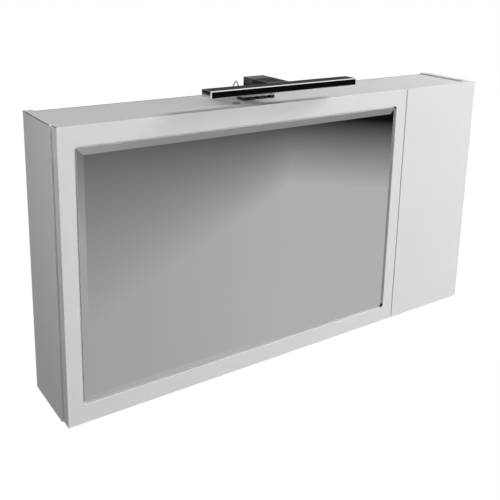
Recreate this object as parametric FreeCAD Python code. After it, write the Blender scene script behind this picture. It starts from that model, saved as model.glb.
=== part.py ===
import FreeCAD, Part
import math
import os

# Wall-hung mirror cabinet with a framed mirror door, a narrow plain door and a lamp on top.
# Millimetres. X runs along the width, Y towards the wall, Z up.
# The origin lies on the wall plane, midway between the two wall screws.

# Carcass
CABINET_WIDTH = 900.0
CABINET_HEIGHT = 480.0
CARCASS_DEPTH = 119.5
PANEL_THICKNESS = 16.0
PANEL_DROP = 2.5
BACK_THICKNESS = 3.0
BACK_REBATE = 8.0
RAIL_HEIGHT = 60.0
RAIL_THICKNESS = 16.0
WALL_SCREW_FROM_SIDE = 50.0
WALL_SCREW_HOLE_R = 2.75
NAIL_R = 0.8
NAIL_LENGTH = 14.0
NAIL_EDGE = 4.0
NAIL_END_DISTANCE = 44.0
NAIL_LOW_DISTANCE = 60.0
NAIL_HIGH_DISTANCE = 120.0
TOP_NAIL_COUNT = 7
SIDE_NAIL_COUNT = 4

# Doors
DOOR_THICKNESS = 18.0
DOOR_GAP = 2.5
DOOR_INSET = 3.0
DOOR_ROUND = 0.8
SIDE_DOOR_WIDTH = 197.0
MEETING_GAP = 2.0

# Mirror in its routed pocket
STILE_WIDTH = 25.0
RAIL_WIDTH = 31.0
POCKET_DEPTH = 6.0
POCKET_CORNER_R = 6.0
GLASS_MARGIN = 4.0
GLASS_THICKNESS = 4.0
BEVEL_WIDTH = 10.0
BEVEL_DEPTH = 1.6
TAPE_THICKNESS = 1.0
TAPE_WIDTH = 19.0
TAPE_STRIPS = 5
TAPE_END_MARGIN = 40.0

# Shelves
SHELVES_PER_SPACE = 2
SHELF_THICKNESS = 5.0
SHELF_DEPTH = 92.0
SHELF_BACK_GAP = 5.0
SHELF_END_GAP = 1.0
SHELF_PIN_R = 2.5
SHELF_PIN_SEAT = 6.5
SHELF_PIN_REACH = 8.0
SHELF_PIN_INSET = 18.0

# Dowels and cam fittings
DOWEL_R = 4.0
DOWEL_IN_SIDE = 10.0
DOWEL_IN_PANEL = 20.0
DOWEL_INSET = 22.0
RAIL_DOWEL_SPACING = 30.0
CAM_R = 7.5
CAM_DEPTH = 12.5
CAM_DISTANCE = 24.0
CAM_BOLT_R = 3.0
CAM_BOLT_IN_SIDE = 10.0
CAM_BOLT_HEAD_R = 3.6
CAM_BOLT_HEAD_LENGTH = 3.0
CAM_SLOT_R = 4.4

# Single-pivot cup hinges
MIRROR_DOOR_HINGES = 3
SIDE_DOOR_HINGES = 2
HINGE_END_DISTANCE = 80.0
CUP_R = 17.5
CUP_EDGE = 3.0
CUP_DEPTH = 10.5
CUP_WALL = 0.8
FLANGE_THICKNESS = 1.0
FLANGE_START = 11.0
FLANGE_BEYOND_CUP = 3.0
FLANGE_HALF_LENGTH = 27.0
CUP_SCREW_SPACING = 45.0
CUP_SCREW_OFFSET = 9.5
CUP_SCREW_LENGTH = 9.0
HINGE_SCREW_R = 1.75
HINGE_SCREW_HEAD_R = 3.4
HINGE_SCREW_HEAD = 1.2
PIN_R = 0.9
PIN_FROM_EDGE = 6.0
PIN_FROM_BACK = 7.7
LUG_GAP = 0.4
LUG_WIDTH = 2.4
LUG_AROUND_PIN = 1.8
KNUCKLE_R = 1.5
ARM_NECK_WIDTH = 6.4
ARM_WIDTH = 12.0
ARM_THICKNESS = 2.4
ARM_BASE_ABOVE_PIN = 0.4
ARM_BASE_BELOW_PIN = 1.5
ARM_BODY_START = 3.0
ARM_BODY_END = 56.0
ARM_BEND = 1.2
PLATE_THICKNESS = 5.0
PLATE_START = 20.0
PLATE_END = 54.0
PLATE_WIDTH = 14.0
PLATE_WING_THICKNESS = 2.0
PLATE_WING_DEPTH = 14.0
PLATE_WING_LENGTH = 44.0
PLATE_SCREW_SPACING = 32.0
PLATE_SCREW_LINE = 37.0
PLATE_SCREW_LENGTH = 13.0
ARM_SCREW_LENGTH = 5.5

# Push latches on the divider
LATCH_WIDTH = 12.0
LATCH_HEIGHT = 16.0
LATCH_LENGTH = 60.0
LATCH_SETBACK = 1.0
PLUNGER_R = 3.5
PLUNGER_LENGTH = 30.0
PLUNGER_BORE_LENGTH = 36.0
PLUNGER_STRIKE_GAP = 0.3
MAGNET_R = 2.5
MAGNET_LENGTH = 3.0
STRIKE_THICKNESS = 1.0
STRIKE_SIZE = 14.0
STRIKE_CORNER_R = 3.5
SPRING_R = 2.6
SPRING_WIRE_R = 0.3
SPRING_TURNS = 6
LATCH_SCREW_R = 1.6
LATCH_SCREW_HEAD_R = 2.8
LATCH_SCREW_HEAD = 1.2
LATCH_SCREW_DEPTH = 6.5
LATCH_SCREW_LINES = (44.0, 55.0)

# Lamp: bar, arm, foot
LAMP_X = -59.0
LAMP_TOP = 36.0
BAR_LENGTH = 300.0
BAR_DEPTH = 28.0
BAR_HEIGHT = 12.0
BAR_WALL = 1.6
BAR_FRONT_WALL = 3.2
BAR_CHAMFER = 1.4
BAR_ARRIS = 0.9
BAR_OVERHANG = 25.0
END_CAP_THICKNESS = 2.5
END_CAP_HEIGHT = 5.5
DIFFUSER_THICKNESS = 4.0
DIFFUSER_RECESS = 0.6
LED_BOARD_WIDTH = 12.0
LED_BOARD_THICKNESS = 1.2
LED_COUNT = 24
LED_SIZE = 3.0
LED_HEIGHT = 0.8
ARM_BOX_WIDTH = 42.0
ARM_BOX_LENGTH = 75.0
ARM_BOX_WALL = 1.6
ARM_BOX_FRONT_WALL = 7.0
COVER_HEIGHT = 10.0
TRAY_HEIGHT = 8.0
FOOT_WIDTH = 66.0
FOOT_DEPTH = 28.0
FOOT_OVERLAP = 20.0
FOOT_WALL = 2.0
FOOT_PLATE = 2.0
FOOT_PAD_HEIGHT = 5.5
FOOT_PADS = ((-33.0, -24.7), (-21.0, -9.0), (-1.4, 16.5), (25.0, 33.0))
FOOT_SCREW_INSET = 5.6
FOOT_SCREW_R = 1.75
FOOT_SCREW_HEAD_R = 3.4
FOOT_SCREW_HEAD = 1.8
FOOT_SCREW_DEPTH = 12.0
TRAY_SCREW_SPACING = 18.0
BAR_SCREW_R = 1.4
BAR_SCREW_HEAD_R = 2.4
BAR_SCREW_HEAD = 1.4
BAR_SCREW_LENGTH = 6.5
BAR_SCREW_SPACING = 26.0
DRIVER_EDGE_GAP = 2.2
DRIVER_BOARD_THICKNESS = 1.6
DRIVER_STANDOFF = 2.0
DRIVER_STANDOFF_R = 2.0
DRIVER_STANDOFF_EDGE = 3.0
DRIVER_BLOCK_INSET = 12.4
DRIVER_BLOCKS = ((14.0, 12.0, 7.0), (12.0, 16.0, 8.0), (18.0, 9.0, 5.0))

# Lamp lead and its terminal box
LEAD_R = 1.3
LEAD_X = -117.0
LEAD_Y = -97.0
LEAD_TAIL = 3.0
LEAD_EXIT_HEIGHT = 12.0
LEAD_EXIT_INSET = 8.0
LEAD_TURN_REACH = 21.0
LEAD_TURN_FORWARD = 10.0
LEAD_LOOP_X = -122.0
LEAD_LOOP_Y = -103.0
LEAD_LOOP_SPREAD = 7.5
LEAD_LOOP_SKEW = 2.0
LEAD_LOOP_FALL = 16.5
LEAD_LOOP_HEIGHT = 40.0
LEAD_LANDING = 3.5
LEAD_DROP = 9.0
LEAD_BENDS = (12.0, 10.0, 2.2, 6.0, 5.0, 8.0)
GROMMET_R = 4.5
GROMMET_LIP_R = 6.5
GROMMET_LIP = 1.5
TERMINAL_BOX_LENGTH = 40.0
TERMINAL_BOX_WIDTH = 50.0
TERMINAL_BOX_HEIGHT = 24.0
TERMINAL_BOX_WALL = 1.8
TERMINAL_BOX_GAP = 3.0
TERMINAL_POLES = 3
TERMINAL_POLE_WIDTH = 8.0
TERMINAL_POLE_LENGTH = 16.0
TERMINAL_POLE_HEIGHT = 12.0
TERMINAL_WAY_R = 2.0
CABLE_ENTRY_R = 6.0

# Clearances
FIT = 0.1
RUNNING_FIT = 0.06
SEAT_GAP = 0.2
SAME_PLACE = 1e-6

# Places worked out from the sizes
LEFT = -CABINET_WIDTH / 2
RIGHT = CABINET_WIDTH / 2
FRONT = -CARCASS_DEPTH
DOOR_BACK = FRONT - DOOR_GAP
DOOR_FRONT = DOOR_BACK - DOOR_THICKNESS
INNER_TOP = RAIL_HEIGHT / 2
TOP_FACE = INNER_TOP + PANEL_THICKNESS
TOP = TOP_FACE + PANEL_DROP
BOTTOM = TOP - CABINET_HEIGHT
BOTTOM_FACE = BOTTOM + PANEL_DROP
INNER_BOTTOM = BOTTOM_FACE + PANEL_THICKNESS
INNER_LEFT = LEFT + PANEL_THICKNESS
INNER_RIGHT = RIGHT - PANEL_THICKNESS
PANEL_BACK = -BACK_THICKNESS
TERMINAL_BOX_BACK = PANEL_BACK - RAIL_THICKNESS - TERMINAL_BOX_GAP
MIRROR_DOOR_LEFT = LEFT + DOOR_INSET
SIDE_DOOR_RIGHT = RIGHT - DOOR_INSET
SIDE_DOOR_LEFT = SIDE_DOOR_RIGHT - SIDE_DOOR_WIDTH
MIRROR_DOOR_RIGHT = SIDE_DOOR_LEFT - MEETING_GAP
DIVIDER_MID = SIDE_DOOR_LEFT - MEETING_GAP / 2
DIVIDER_LEFT = DIVIDER_MID - PANEL_THICKNESS / 2
DIVIDER_RIGHT = DIVIDER_MID + PANEL_THICKNESS / 2
POCKET_FLOOR = DOOR_FRONT + POCKET_DEPTH
LATCH_Z = (INNER_TOP + INNER_BOTTOM) / 2
LAMP_TOP_Z = TOP + LAMP_TOP
BAR_FRONT = DOOR_FRONT - BAR_OVERHANG
BAR_BACK = BAR_FRONT + BAR_DEPTH
ARM_BOX_BACK = BAR_BACK + ARM_BOX_LENGTH
COVER_BOTTOM = LAMP_TOP_Z - COVER_HEIGHT
TRAY_BOTTOM = COVER_BOTTOM - TRAY_HEIGHT
FOOT_FRONT = ARM_BOX_BACK - FOOT_OVERLAP
FOOT_BACK = FOOT_FRONT + FOOT_DEPTH
FOOT_LOW = TOP_FACE + FOOT_PAD_HEIGHT
FOOT_SEAT = FOOT_LOW + FOOT_PLATE


def box(x0, x1, y0, y1, z0, z1):
    """A block between two corners, given in any order."""
    low = FreeCAD.Vector(min(x0, x1), min(y0, y1), min(z0, z1))
    return Part.makeBox(abs(x1 - x0), abs(y1 - y0), abs(z1 - z0), low)


def rod(radius, start, end):
    """A round bar from one point to another."""
    a = FreeCAD.Vector(*start)
    b = FreeCAD.Vector(*end)
    return Part.makeCylinder(radius, a.distanceToPoint(b), a, b - a)


def drill_for(radius, start, end):
    """The hole that a round bar needs: wider all round and a little longer at both ends."""
    a = FreeCAD.Vector(*start)
    b = FreeCAD.Vector(*end)
    along = (b - a).normalize() * SEAT_GAP
    return rod(radius + FIT, a - along, b + along)


def cut_all(shape, tools):
    """Cuts a piece by each tool that reaches it."""
    near = [tool for tool in tools if tool.BoundBox.intersect(shape.BoundBox)]
    if near:
        shape = shape.cut(near)
    return shape.removeSplitter()


def join(first, *others):
    """Fuses solids that make one piece."""
    return first.fuse(list(others)).removeSplitter()


def write(name, solids):
    """Writes one node: a single solid, or a group of separate solids."""
    shape = solids[0] if len(solids) == 1 else Part.makeCompound(solids)
    for solid in shape.Solids:
        if not solid.isValid() or solid.Volume <= 0:
            raise ValueError(name + " has a bad solid")
    shape.exportStep("parts/" + name + ".step")


def round_front_edges(shape, radius, front):
    """Rounds the edges that lie in the front face."""
    edges = []
    for edge in shape.Edges:
        if all(abs(vertex.Point.y - front) < SAME_PLACE for vertex in edge.Vertexes):
            edges.append(edge)
    return shape.makeFillet(radius, edges)


def rounded_plate(x0, x1, y0, y1, z0, z1, radius):
    """A block whose four edges along Y are rounded."""
    plate = box(x0, x1, y0, y1, z0, z1)
    edges = []
    for edge in plate.Edges:
        ends = [vertex.Point for vertex in edge.Vertexes]
        if abs(ends[0].y - ends[1].y) > SAME_PLACE:
            edges.append(edge)
    return plate.makeFillet(radius, edges)


def spread(count, start, end):
    """Evenly spaced places, the first and last at the given ends."""
    step = (end - start) / (count - 1)
    return [start + step * index for index in range(count)]


def screw(point, direction, head_r, head, shank_r, length):
    """A screw whose head stands on a face at the given point and whose shank runs along the direction."""
    seat = FreeCAD.Vector(*point)
    along = FreeCAD.Vector(*direction)
    body = Part.makeCylinder(head_r, head, seat, along * -1)
    shank = Part.makeCylinder(shank_r, length, seat, along)
    return join(body, shank)


# Dowels, cam bolts and cam discs at the corner joints and at the divider

DOWEL_LINES = (PANEL_BACK - DOWEL_INSET, FRONT + DOWEL_INSET)
CAM_LINE = (PANEL_BACK + FRONT) / 2
PANEL_LEVELS = (TOP_FACE - PANEL_THICKNESS / 2, BOTTOM_FACE + PANEL_THICKNESS / 2)


def panel_dowels():
    """End points of the dowels that join the top and bottom panels to the sides and the divider."""
    ends = []
    for level in PANEL_LEVELS:
        for y in DOWEL_LINES:
            ends.append(((INNER_LEFT - DOWEL_IN_SIDE, y, level), (INNER_LEFT + DOWEL_IN_PANEL, y, level)))
            ends.append(((INNER_RIGHT + DOWEL_IN_SIDE, y, level), (INNER_RIGHT - DOWEL_IN_PANEL, y, level)))
    front_line = DOWEL_LINES[1]
    for face, up in ((INNER_TOP, 1), (INNER_BOTTOM, -1)):
        start = (DIVIDER_MID, front_line, face + up * DOWEL_IN_SIDE)
        ends.append((start, (DIVIDER_MID, front_line, face - up * DOWEL_IN_PANEL)))
    return ends


def rail_dowels():
    """End points of the dowels that join the mounting rail to the sides."""
    ends = []
    y = PANEL_BACK - RAIL_THICKNESS / 2
    for z in (-RAIL_DOWEL_SPACING / 2, RAIL_DOWEL_SPACING / 2):
        ends.append(((INNER_LEFT - DOWEL_IN_SIDE, y, z), (INNER_LEFT + DOWEL_IN_PANEL, y, z)))
        ends.append(((INNER_RIGHT + DOWEL_IN_SIDE, y, z), (INNER_RIGHT - DOWEL_IN_PANEL, y, z)))
    return ends


def cam_joints():
    """For each cam joint: the seam point, the way from the seam into the cam's panel, and the cam's axis."""
    joints = []
    top_level, bottom_level = PANEL_LEVELS
    up = (0, 0, 1)
    down = (0, 0, -1)
    for x, inward in ((INNER_LEFT, (1, 0, 0)), (INNER_RIGHT, (-1, 0, 0))):
        joints.append(((x, CAM_LINE, top_level), inward, up))
        joints.append(((x, CAM_LINE, bottom_level), inward, down))
    joints.append(((DIVIDER_MID, CAM_LINE, INNER_TOP), down, (-1, 0, 0)))
    joints.append(((DIVIDER_MID, CAM_LINE, INNER_BOTTOM), up, (-1, 0, 0)))
    return joints


def cam_pieces(seam, inward, axis):
    """The bolt and the disc of one cam joint, and the holes that they need."""
    seam = FreeCAD.Vector(*seam)
    inward = FreeCAD.Vector(*inward)
    axis = FreeCAD.Vector(*axis)
    centre = seam + inward * CAM_DISTANCE
    mouth = centre - axis * (PANEL_THICKNESS / 2)
    neck_end = centre - inward * CAM_BOLT_HEAD_LENGTH
    root = seam - inward * CAM_BOLT_IN_SIDE
    neck = rod(CAM_BOLT_R, root, neck_end)
    head = rod(CAM_BOLT_HEAD_R, neck_end, centre)
    bolt = join(neck, head)
    disc = rod(CAM_R, mouth, mouth + axis * CAM_DEPTH)
    bolt_way = rod(CAM_SLOT_R, centre - inward * (CAM_R + FIT), centre + inward * CAM_BOLT_HEAD_LENGTH)
    disc = disc.cut(bolt_way)
    disc_hole = rod(CAM_R + FIT, mouth, mouth + axis * (CAM_DEPTH + SEAT_GAP))
    return bolt, disc, [drill_for(CAM_BOLT_R, root, neck_end), disc_hole]


def back_nails():
    """Points on the back where the nails that hold the back panel go in."""
    xs = spread(TOP_NAIL_COUNT, INNER_LEFT + NAIL_END_DISTANCE, INNER_RIGHT - NAIL_END_DISTANCE)
    points = [(x, z) for x in xs for z in PANEL_LEVELS]
    zs = spread(SIDE_NAIL_COUNT, INNER_BOTTOM + NAIL_LOW_DISTANCE, INNER_TOP - NAIL_HIGH_DISTANCE)
    side_x = RIGHT - BACK_REBATE - NAIL_EDGE
    points += [(x, z) for z in zs for x in (-side_x, side_x)]
    return points


def nail(x, z):
    """One nail through the back panel, its tip towards the front."""
    return rod(NAIL_R, (x, 0, z), (x, -NAIL_LENGTH, z))


def nail_hole(x, z):
    """The hole of one nail."""
    return drill_for(NAIL_R, (x, 0, z), (x, -NAIL_LENGTH, z))


# Shelves and their pins

def shelf_spaces():
    """The two spaces behind the doors, as left and right limits."""
    return {"mirror": (INNER_LEFT, DIVIDER_LEFT), "side": (DIVIDER_RIGHT, INNER_RIGHT)}


def shelf_levels():
    """Heights of the undersides of the shelves."""
    step = (INNER_TOP - INNER_BOTTOM) / (SHELVES_PER_SPACE + 1)
    return [INNER_BOTTOM + step * (index + 1) for index in range(SHELVES_PER_SPACE)]


def shelves(left, right):
    """The glass shelves of one space."""
    back = PANEL_BACK - SHELF_BACK_GAP
    made = []
    for level in shelf_levels():
        x0 = left + SHELF_END_GAP
        x1 = right - SHELF_END_GAP
        made.append(box(x0, x1, back, back - SHELF_DEPTH, level, level + SHELF_THICKNESS))
    return made


def shelf_pin_ends():
    """End points of the shelf pins, seat end first."""
    back = PANEL_BACK - SHELF_BACK_GAP
    ends = []
    for left, right in shelf_spaces().values():
        for level in shelf_levels():
            z = level - SHELF_PIN_R
            for y in (back - SHELF_PIN_INSET, back - SHELF_DEPTH + SHELF_PIN_INSET):
                ends.append(((left - SHELF_PIN_SEAT, y, z), (left + SHELF_PIN_REACH, y, z)))
                ends.append(((right + SHELF_PIN_SEAT, y, z), (right - SHELF_PIN_REACH, y, z)))
    return ends


# Hinges, measured from the door's hinge edge inwards (u) and from the carcass front (v)

class Hinge:
    """One cup hinge: the hinge edge of its door, the way inwards along X, and its height."""

    def __init__(self, edge, inwards, z):
        self.edge = edge
        self.inwards = inwards
        self.z = z

    def at(self, u, v, dz=0.0):
        """A point of this hinge in the cabinet's frame."""
        return (self.edge + self.inwards * u, FRONT + v, self.z + dz)

    def block(self, u0, u1, v0, v1, width):
        """A block of the given width along Z, centred on the hinge."""
        low = self.at(u0, v0, -width / 2)
        high = self.at(u1, v1, width / 2)
        return box(low[0], high[0], low[1], high[1], low[2], high[2])


CUP_MID = CUP_EDGE + CUP_R
CUP_FLOOR = -DOOR_GAP - CUP_DEPTH
PIN_V = -DOOR_GAP - PIN_FROM_BACK
PLATE_FOOT = PANEL_THICKNESS - DOOR_INSET
ARM_INNER = PLATE_FOOT + PLATE_THICKNESS
ARM_OUTER = ARM_INNER + ARM_THICKNESS
CUP_SCREW_U = CUP_MID + CUP_SCREW_OFFSET
FLANGE_END = CUP_MID + CUP_R + FLANGE_BEYOND_CUP
FLANGE_V = -DOOR_GAP + FLANGE_THICKNESS


def hinge_heights(count):
    """Heights of the hinges of one door."""
    return spread(count, BOTTOM + HINGE_END_DISTANCE, TOP - HINGE_END_DISTANCE)


LUG_START = ARM_NECK_WIDTH / 2 + LUG_GAP
PIN_REACH = LUG_START + LUG_WIDTH


def pivot_rod(hinge, radius, reach):
    """A round bar on the door's axis, reaching equally up and down from the hinge's middle."""
    return rod(radius, hinge.at(PIN_FROM_EDGE, PIN_V, -reach), hinge.at(PIN_FROM_EDGE, PIN_V, reach))


def hinge_pin(hinge):
    """The pivot pin, on the door's axis."""
    return pivot_rod(hinge, PIN_R, PIN_REACH)


def pin_lugs(hinge):
    """The two lugs inside the cup that hold the pin, kept within the cup's outside."""
    u0 = PIN_FROM_EDGE - PIN_R - LUG_AROUND_PIN
    u1 = PIN_FROM_EDGE + LUG_AROUND_PIN
    pair = hinge.block(u0, u1, CUP_FLOOR, PIN_V + LUG_AROUND_PIN, PIN_REACH * 2)
    between = hinge.block(u0, u1, CUP_FLOOR, PIN_V + LUG_AROUND_PIN, LUG_START * 2)
    outside = rod(CUP_R, hinge.at(CUP_MID, CUP_FLOOR), hinge.at(CUP_MID, -DOOR_GAP))
    return pair.cut(between).common(outside)


def hinge_cup(hinge):
    """The cup with its flange on the back of the door, bored for the pin and the flange screws."""
    outer = rod(CUP_R, hinge.at(CUP_MID, CUP_FLOOR), hinge.at(CUP_MID, -DOOR_GAP))
    flange = hinge.block(FLANGE_START, FLANGE_END, -DOOR_GAP, FLANGE_V, FLANGE_HALF_LENGTH * 2)
    inner = rod(CUP_R - CUP_WALL, hinge.at(CUP_MID, CUP_FLOOR + CUP_WALL), hinge.at(CUP_MID, FLANGE_V + FIT))
    shell = join(outer, flange).cut(inner)
    pin_hole = pivot_rod(hinge, PIN_R + RUNNING_FIT, PIN_REACH)
    return join(shell, pin_lugs(hinge)).cut([pin_hole] + cup_screw_holes(hinge)).removeSplitter()


def cup_pocket(hinge):
    """The round pocket in the door that takes the cup."""
    floor = hinge.at(CUP_MID, CUP_FLOOR - FIT)
    return rod(CUP_R + FIT, floor, hinge.at(CUP_MID, FIT))


def cup_screw_offsets():
    """Heights of the flange screws above the hinge's middle."""
    return (-CUP_SCREW_SPACING / 2, CUP_SCREW_SPACING / 2)


def cup_screws(hinge):
    """The two screws that hold the cup's flange to the door."""
    size = (HINGE_SCREW_HEAD_R, HINGE_SCREW_HEAD, HINGE_SCREW_R, CUP_SCREW_LENGTH)
    seats = [hinge.at(CUP_SCREW_U, FLANGE_V, dz) for dz in cup_screw_offsets()]
    return [screw(seat, (0, -1, 0), *size) for seat in seats]


def cup_screw_holes(hinge):
    """The holes of the flange screws."""
    holes = []
    for dz in cup_screw_offsets():
        seat = hinge.at(CUP_SCREW_U, FLANGE_V, dz)
        holes.append(drill_for(HINGE_SCREW_R, seat, hinge.at(CUP_SCREW_U, FLANGE_V - CUP_SCREW_LENGTH, dz)))
    return holes


def hinge_arm(hinge):
    """The gooseneck arm: knuckle on the pin, out of the cup, then along the mounting plate."""
    low = PIN_V - ARM_BASE_BELOW_PIN
    high = PIN_V + ARM_BASE_ABOVE_PIN
    outline = [(PIN_FROM_EDGE, low), (ARM_OUTER - ARM_BEND, low), (ARM_OUTER, low + ARM_BEND),
               (ARM_OUTER, ARM_BODY_START), (ARM_INNER, ARM_BODY_START), (ARM_INNER, high + ARM_BEND),
               (ARM_INNER - ARM_BEND, high), (PIN_FROM_EDGE, high)]
    corners = [FreeCAD.Vector(*hinge.at(u, v, -ARM_NECK_WIDTH / 2)) for u, v in outline]
    neck = Part.Face(Part.makePolygon(corners + corners[:1])).extrude(FreeCAD.Vector(0, 0, ARM_NECK_WIDTH))
    knuckle = pivot_rod(hinge, KNUCKLE_R, ARM_NECK_WIDTH / 2)
    body = hinge.block(ARM_INNER, ARM_OUTER, ARM_BODY_START, ARM_BODY_END, ARM_WIDTH)
    bore = pivot_rod(hinge, PIN_R + RUNNING_FIT, ARM_NECK_WIDTH / 2)
    return join(neck, knuckle, body).cut([bore, arm_screw_hole(hinge)]).removeSplitter()


def arm_screw(hinge):
    """The screw that clamps the arm to its plate."""
    seat = hinge.at(ARM_OUTER, PLATE_SCREW_LINE)
    way = (-hinge.inwards, 0, 0)
    return screw(seat, way, HINGE_SCREW_HEAD_R, HINGE_SCREW_HEAD, HINGE_SCREW_R, ARM_SCREW_LENGTH)


def arm_screw_hole(hinge):
    """The hole of the arm's screw."""
    seat = hinge.at(ARM_OUTER, PLATE_SCREW_LINE)
    return drill_for(HINGE_SCREW_R, seat, hinge.at(ARM_OUTER - ARM_SCREW_LENGTH, PLATE_SCREW_LINE))


def plate_screw_offsets():
    """Heights of the plate screws above the hinge's middle."""
    return (-PLATE_SCREW_SPACING / 2, PLATE_SCREW_SPACING / 2)


def hinge_plate(hinge):
    """The winged mounting plate on the side panel."""
    body = hinge.block(PLATE_FOOT, ARM_INNER, PLATE_START, PLATE_END, PLATE_WIDTH)
    wing_start = PLATE_SCREW_LINE - PLATE_WING_DEPTH / 2
    wing_top = PLATE_FOOT + PLATE_WING_THICKNESS
    wings = hinge.block(PLATE_FOOT, wing_top, wing_start, wing_start + PLATE_WING_DEPTH, PLATE_WING_LENGTH)
    return join(body, wings).cut(plate_screw_holes(hinge) + [arm_screw_hole(hinge)]).removeSplitter()


def plate_screws(hinge):
    """The two screws that hold the mounting plate to the side panel."""
    top = PLATE_FOOT + PLATE_WING_THICKNESS
    way = (-hinge.inwards, 0, 0)
    size = (HINGE_SCREW_HEAD_R, HINGE_SCREW_HEAD, HINGE_SCREW_R, PLATE_SCREW_LENGTH)
    seats = [hinge.at(top, PLATE_SCREW_LINE, dz) for dz in plate_screw_offsets()]
    return [screw(seat, way, *size) for seat in seats]


def plate_screw_holes(hinge):
    """The holes of the plate screws."""
    top = PLATE_FOOT + PLATE_WING_THICKNESS
    holes = []
    for dz in plate_screw_offsets():
        seat = hinge.at(top, PLATE_SCREW_LINE, dz)
        holes.append(drill_for(HINGE_SCREW_R, seat, hinge.at(top - PLATE_SCREW_LENGTH, PLATE_SCREW_LINE, dz)))
    return holes


def door_hinges():
    """The hinges of both doors."""
    mirror = [Hinge(MIRROR_DOOR_LEFT, 1, z) for z in hinge_heights(MIRROR_DOOR_HINGES)]
    side = [Hinge(SIDE_DOOR_RIGHT, -1, z) for z in hinge_heights(SIDE_DOOR_HINGES)]
    return {"mirror_door": mirror, "side_door": side}


# Push latches

class Latch:
    """One push latch on a face of the divider; away is the way from that face along X."""

    def __init__(self, face, away):
        self.face = face
        self.away = away
        self.x = face + away * LATCH_WIDTH / 2

    def point(self, v, dz=0.0):
        """A point on the latch's axis, v behind the carcass front."""
        return (self.x, FRONT + v, LATCH_Z + dz)


STRIKE_FACE = -DOOR_GAP + STRIKE_THICKNESS
PLUNGER_TIP = STRIKE_FACE + PLUNGER_STRIKE_GAP
PLUNGER_END = PLUNGER_TIP + PLUNGER_LENGTH
BORE_END = LATCH_SETBACK + PLUNGER_BORE_LENGTH
LATCHES = {"mirror": Latch(DIVIDER_LEFT, -1), "side": Latch(DIVIDER_RIGHT, 1)}


def latch_screw_seat(latch, line):
    """Where a latch screw's head stands on the housing."""
    return (latch.face + latch.away * LATCH_WIDTH, FRONT + line, LATCH_Z)


def latch_screws(latch):
    """The screws that hold the housing to the divider."""
    way = (-latch.away, 0, 0)
    size = (LATCH_SCREW_HEAD_R, LATCH_SCREW_HEAD, LATCH_SCREW_R, LATCH_WIDTH + LATCH_SCREW_DEPTH)
    seats = [latch_screw_seat(latch, line) for line in LATCH_SCREW_LINES]
    return [screw(seat, way, *size) for seat in seats]


def latch_screw_holes(latch):
    """The holes of the latch screws."""
    holes = []
    for line in LATCH_SCREW_LINES:
        seat = latch_screw_seat(latch, line)
        tip = (latch.face - latch.away * LATCH_SCREW_DEPTH, seat[1], seat[2])
        holes.append(drill_for(LATCH_SCREW_R, seat, tip))
    return holes


def latch_housing(latch):
    """The housing with its bore for the plunger."""
    outer = latch.face + latch.away * LATCH_WIDTH
    front = FRONT + LATCH_SETBACK
    low = LATCH_Z - LATCH_HEIGHT / 2
    body = box(latch.face, outer, front, front + LATCH_LENGTH, low, low + LATCH_HEIGHT)
    bore = rod(PLUNGER_R + RUNNING_FIT, latch.point(-FIT), latch.point(BORE_END))
    return body.cut([bore] + latch_screw_holes(latch)).removeSplitter()


def latch_plunger(latch):
    """The plunger at the door-closed place, hollowed for its tip magnet."""
    body = rod(PLUNGER_R, latch.point(PLUNGER_TIP), latch.point(PLUNGER_END))
    seat = rod(MAGNET_R + FIT, latch.point(PLUNGER_TIP - FIT), latch.point(PLUNGER_TIP + MAGNET_LENGTH))
    return body.cut(seat)


def latch_magnet(latch):
    """The magnet in the plunger's tip."""
    return rod(MAGNET_R, latch.point(PLUNGER_TIP), latch.point(PLUNGER_TIP + MAGNET_LENGTH))


def arc_edge(start, corner, end):
    """The arc that is tangent to the lines from a corner to two points equally far from it."""
    chord_mid = (start + end) / 2
    cosine = start.distanceToPoint(end) / (2 * start.distanceToPoint(corner))
    middle = chord_mid + (corner - chord_mid) * (cosine / (1 + cosine))
    return Part.Arc(start, middle, end).toShape()


def biarc(start, start_way, end, end_way):
    """Two arcs that meet tangentially and leave both end points along the given unit directions."""
    span = end - start
    ways = start_way + end_way
    bend = 2 * (start_way.dot(end_way) - 1)
    across = span.dot(ways)
    reach = (across - math.sqrt(across ** 2 - bend * span.dot(span))) / bend
    first = start + start_way * reach
    second = end - end_way * reach
    meeting = (first + second) / 2
    return [arc_edge(start, first, meeting), arc_edge(meeting, second, end)]


def latch_spring(latch):
    """The compression spring between the plunger and the end of its bore, one biarc for each quarter turn."""
    low = PLUNGER_END + SPRING_WIRE_R + FIT
    high = BORE_END - SPRING_WIRE_R - FIT
    quarters = SPRING_TURNS * 4
    rise = (high - low) / (SPRING_TURNS * 2 * math.pi)
    stops = []
    for index in range(quarters + 1):
        turn = index * math.pi / 2
        x, y, z = latch.point(low + rise * turn)
        place = FreeCAD.Vector(x + SPRING_R * math.cos(turn), y, z + SPRING_R * math.sin(turn))
        way = FreeCAD.Vector(-SPRING_R * math.sin(turn), rise, SPRING_R * math.cos(turn))
        stops.append((place, way.normalize()))
    edges = []
    for before, after in zip(stops, stops[1:]):
        edges += biarc(*before, *after)
    section = Part.Wire(Part.makeCircle(SPRING_WIRE_R, *stops[0]))
    return Part.Wire(edges).makePipeShell([section], True, False)


def strike_plate(latch):
    """The steel plate on the back of the door that the magnet holds."""
    half = STRIKE_SIZE / 2
    y0 = FRONT - DOOR_GAP
    x0 = latch.x - half
    low = LATCH_Z - half
    size = STRIKE_SIZE
    return rounded_plate(x0, x0 + size, y0, y0 + STRIKE_THICKNESS, low, low + size, STRIKE_CORNER_R)


# Lamp

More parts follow.
